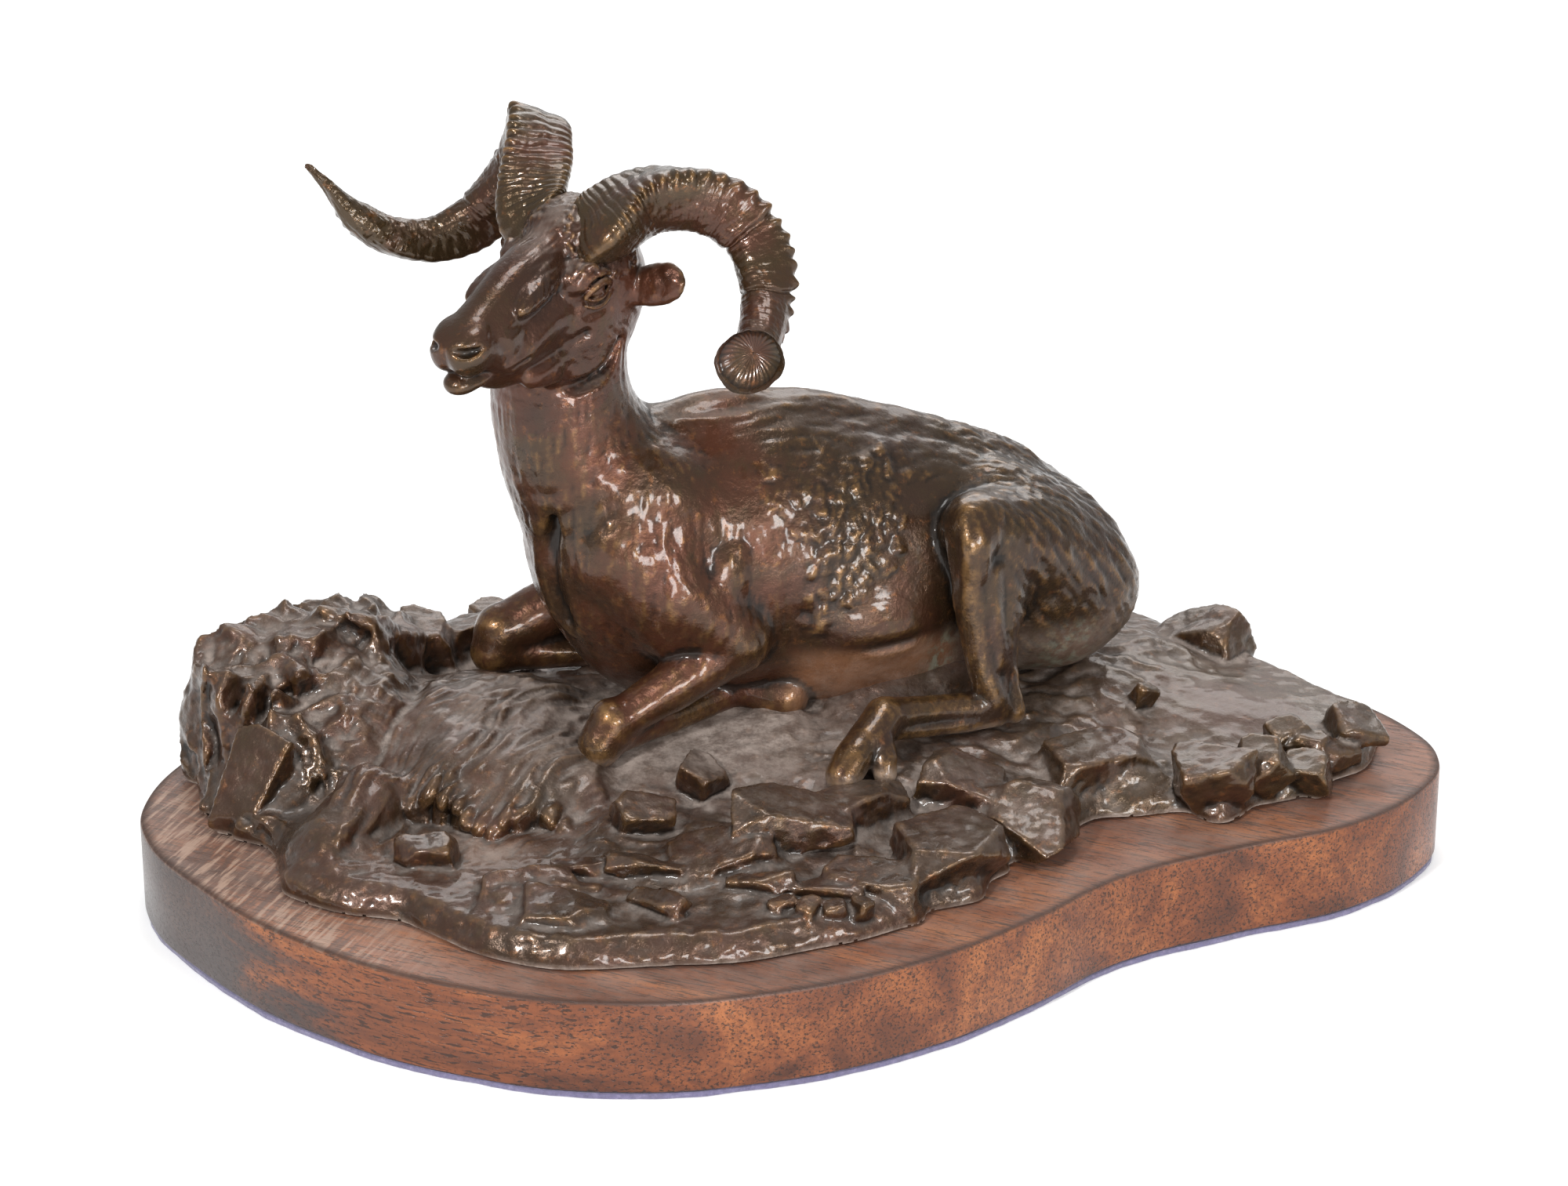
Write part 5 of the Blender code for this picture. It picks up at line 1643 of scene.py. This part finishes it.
def body_patina(local, up):
    x, y, z = local.T
    chest = (1 - step(x, -18, 2)) * 0.75
    wall = step(-y, 8, 14) * (1 - step(-y, 26, 29)) * (1 - step(z, 13, 18)) * step(x, -12, -4)
    feet = 0.45 * (1 - step(z, 0.0, 2.2))
    return {
        "red": np.maximum(chest, 0.5 * bell(x, 12, 14) * bell(z, 22, 12)),
        "olive": 0.35 + 0.15 * step(x, 18, 34),
        "dust": feet + 0.22 * step(up, 0.75, 1.0) * step(z, 40, 52) + 0.25 * wall,
        "warm": wall * (1 - step(x, 20, 30)) + 0.30 * wall * bell(x, 48, 8),
        "green": np.maximum(0.6 * bell(x, 21.5, 3.0) * wall, 0.4 * bell(x, 48, 6.0) * wall),
    }


def head_patina(local, up):
    x, y, z = local.T
    return {
        "red": 0.45 * (1 - step(z, -24, -16)) + 0.5 * step(y, 9, 12) + 0.35,
        "olive": 0.5 * step(x, 22, 32),
        "dust": 0.30 * step(up, 0.6, 0.95) * (1 - step(x, 10, 22)),
    }


def horn_patina(up):
    return {
        "red": np.full(len(up), 0.45),
        "olive": np.full(len(up), 0.75),
        "dust": 0.10 * step(up, 0.8, 1.0),
    }


def paint(skin, kind):
    """Sets the masks that the bronze's patina reads."""
    fine = skin.relief(5)
    wide = skin.relief(40)
    up = skin.normals()[:, 2]
    rub = step(fine, 0.030, 0.130) * 0.65 + step(wide, 0.25, 0.90) * 0.30
    pit = step(-fine, 0.012, 0.085) * 0.7 + step(-wide, 0.10, 0.60) * 0.6
    masks = {"rub": rub, "pit": pit}
    for name in ("red", "olive", "dust", "warm", "green"):
        masks[name] = np.zeros(len(up))
    if kind == "ground":
        masks["rub"] = 0.42 * rub
        masks.update(ground_patina(skin.points, up, wide))
    elif kind == "body":
        masks.update(body_patina(RAM.into(skin.points), up))
    elif kind == "head":
        masks.update(head_patina(HEAD.into(skin.points), up))
    elif kind == "horn":
        masks.update(horn_patina(up))
    skin.masks = {name: np.clip(values, 0, 1) for name, values in masks.items()}


# Camera, lights and floor

PHOTO_WIDTH = 2000
LENS_PIXELS = 6200
SENSOR = 36.0
CAMERA_TARGET = Vector((-0.0026, -0.0005, 0.060))
CAMERA_DISTANCE = 0.946
CAMERA_ELEVATION = math.radians(25)


def make_camera():
    data = bpy.data.cameras.new("camera")
    data.sensor_width = SENSOR
    data.lens = SENSOR * LENS_PIXELS / PHOTO_WIDTH
    data.clip_start = 0.01
    data.clip_end = 20.0
    camera = place_object("camera", data)
    back = Vector((0, -math.cos(CAMERA_ELEVATION), math.sin(CAMERA_ELEVATION)))
    camera.location = CAMERA_TARGET + back * CAMERA_DISTANCE
    camera.rotation_euler = (math.pi / 2 - CAMERA_ELEVATION, 0, 0)
    bpy.context.scene.camera = camera


# Area lights: place and size in metres, and watts
LIGHTS = {
    "key": ((-0.60, -0.85, 0.80), (0.14, 0.14), 9.5),
    "front": ((0.30, -1.25, 0.28), (0.30, 0.25), 6.0),
    "overhead": ((0.10, 0.10, 1.1), (0.35, 0.30), 3.6),
    "fill": ((0.80, -1.02, 0.46), (0.24, 0.24), 5.0),
    "back": ((0.1, 0.95, 0.6), (0.9, 0.4), 3.5),
}
LIGHT_AIM = Vector((0, 0, 0.06))


def make_lights():
    for name, (place, size, power) in LIGHTS.items():
        data = bpy.data.lights.new(name, "AREA")
        data.shape = "RECTANGLE"
        data.size, data.size_y = size
        data.energy = power
        light = place_object(name, data)
        light.location = place
        light.rotation_euler = (LIGHT_AIM - Vector(place)).to_track_quat("-Z", "Y").to_euler()


def make_world():
    world = bpy.data.worlds.new("studio")
    bpy.context.scene.world = world
    world.use_nodes = True
    n = Nodes(world.node_tree)
    background = world.node_tree.nodes["Background"]
    path = n.add("ShaderNodeLightPath")
    seen = n.math("MAXIMUM", path.outputs["Is Camera Ray"], path.outputs["Is Transmission Ray"])
    strength = n.plus(0.50, n.times(seen, 0.50))
    n.link(strength, background.inputs["Strength"])
    background.inputs["Color"].default_value = (1, 1, 1, 1)


def make_floor():
    bpy.ops.mesh.primitive_plane_add(size=8.0, location=(0, 0, 0))
    floor = bpy.context.object
    floor.name = "floor"
    made, tree, shader = new_material("white_floor")
    n = Nodes(tree)
    shader.inputs["Base Color"].default_value = (0.80, 0.80, 0.80, 1)
    shader.inputs["Roughness"].default_value = 0.9
    shader.inputs["Emission Color"].default_value = (1, 1, 1, 1)
    path = n.add("ShaderNodeLightPath")
    seen = n.math("MAXIMUM", path.outputs["Is Camera Ray"], path.outputs["Is Glossy Ray"])
    seen = n.math("MAXIMUM", seen, path.outputs["Is Transmission Ray"])
    n.link(n.times(seen, 0.30), shader.inputs["Emission Strength"])
    floor.data.materials.append(made)


make_camera()
make_world()
make_floor()
make_lights()

bronze = bronze_material()
body_skin, head_skin = make_ram_skins()
paint(body_skin, "body")
paint(head_skin, "head")
pieces = [body_skin.piece("ram_body", bronze), head_skin.piece("ram_head", bronze)]
for side, name in ((1, "left_horn"), (-1, "right_horn")):
    horn = horn_skin(side)
    paint(horn, "horn")
    pieces.append(horn.piece(name, bronze))
for half, name in zip(halves(ground_skin(), GROUND_SPLIT), ("left_ground", "right_ground")):
    pieces.append(half.piece(name, bronze))
for made in pieces:
    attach(made, "root")
    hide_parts("bronze_casting")

plinth = make_plinth(wood_material())
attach(plinth, "root")
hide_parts("wood_plinth")

felt = make_felt(felt_material())
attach(felt, "root")
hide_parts("felt_pad")
felt_area = abs(signed_area(plinth_outline() * MM))

steel = steel_material()
for name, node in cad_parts.items():
    if name.startswith(("screw", "washer")):
        node.data.materials.clear()
        node.data.materials.append(steel)

scene = bpy.context.scene
scene.view_settings.view_transform = "Standard"
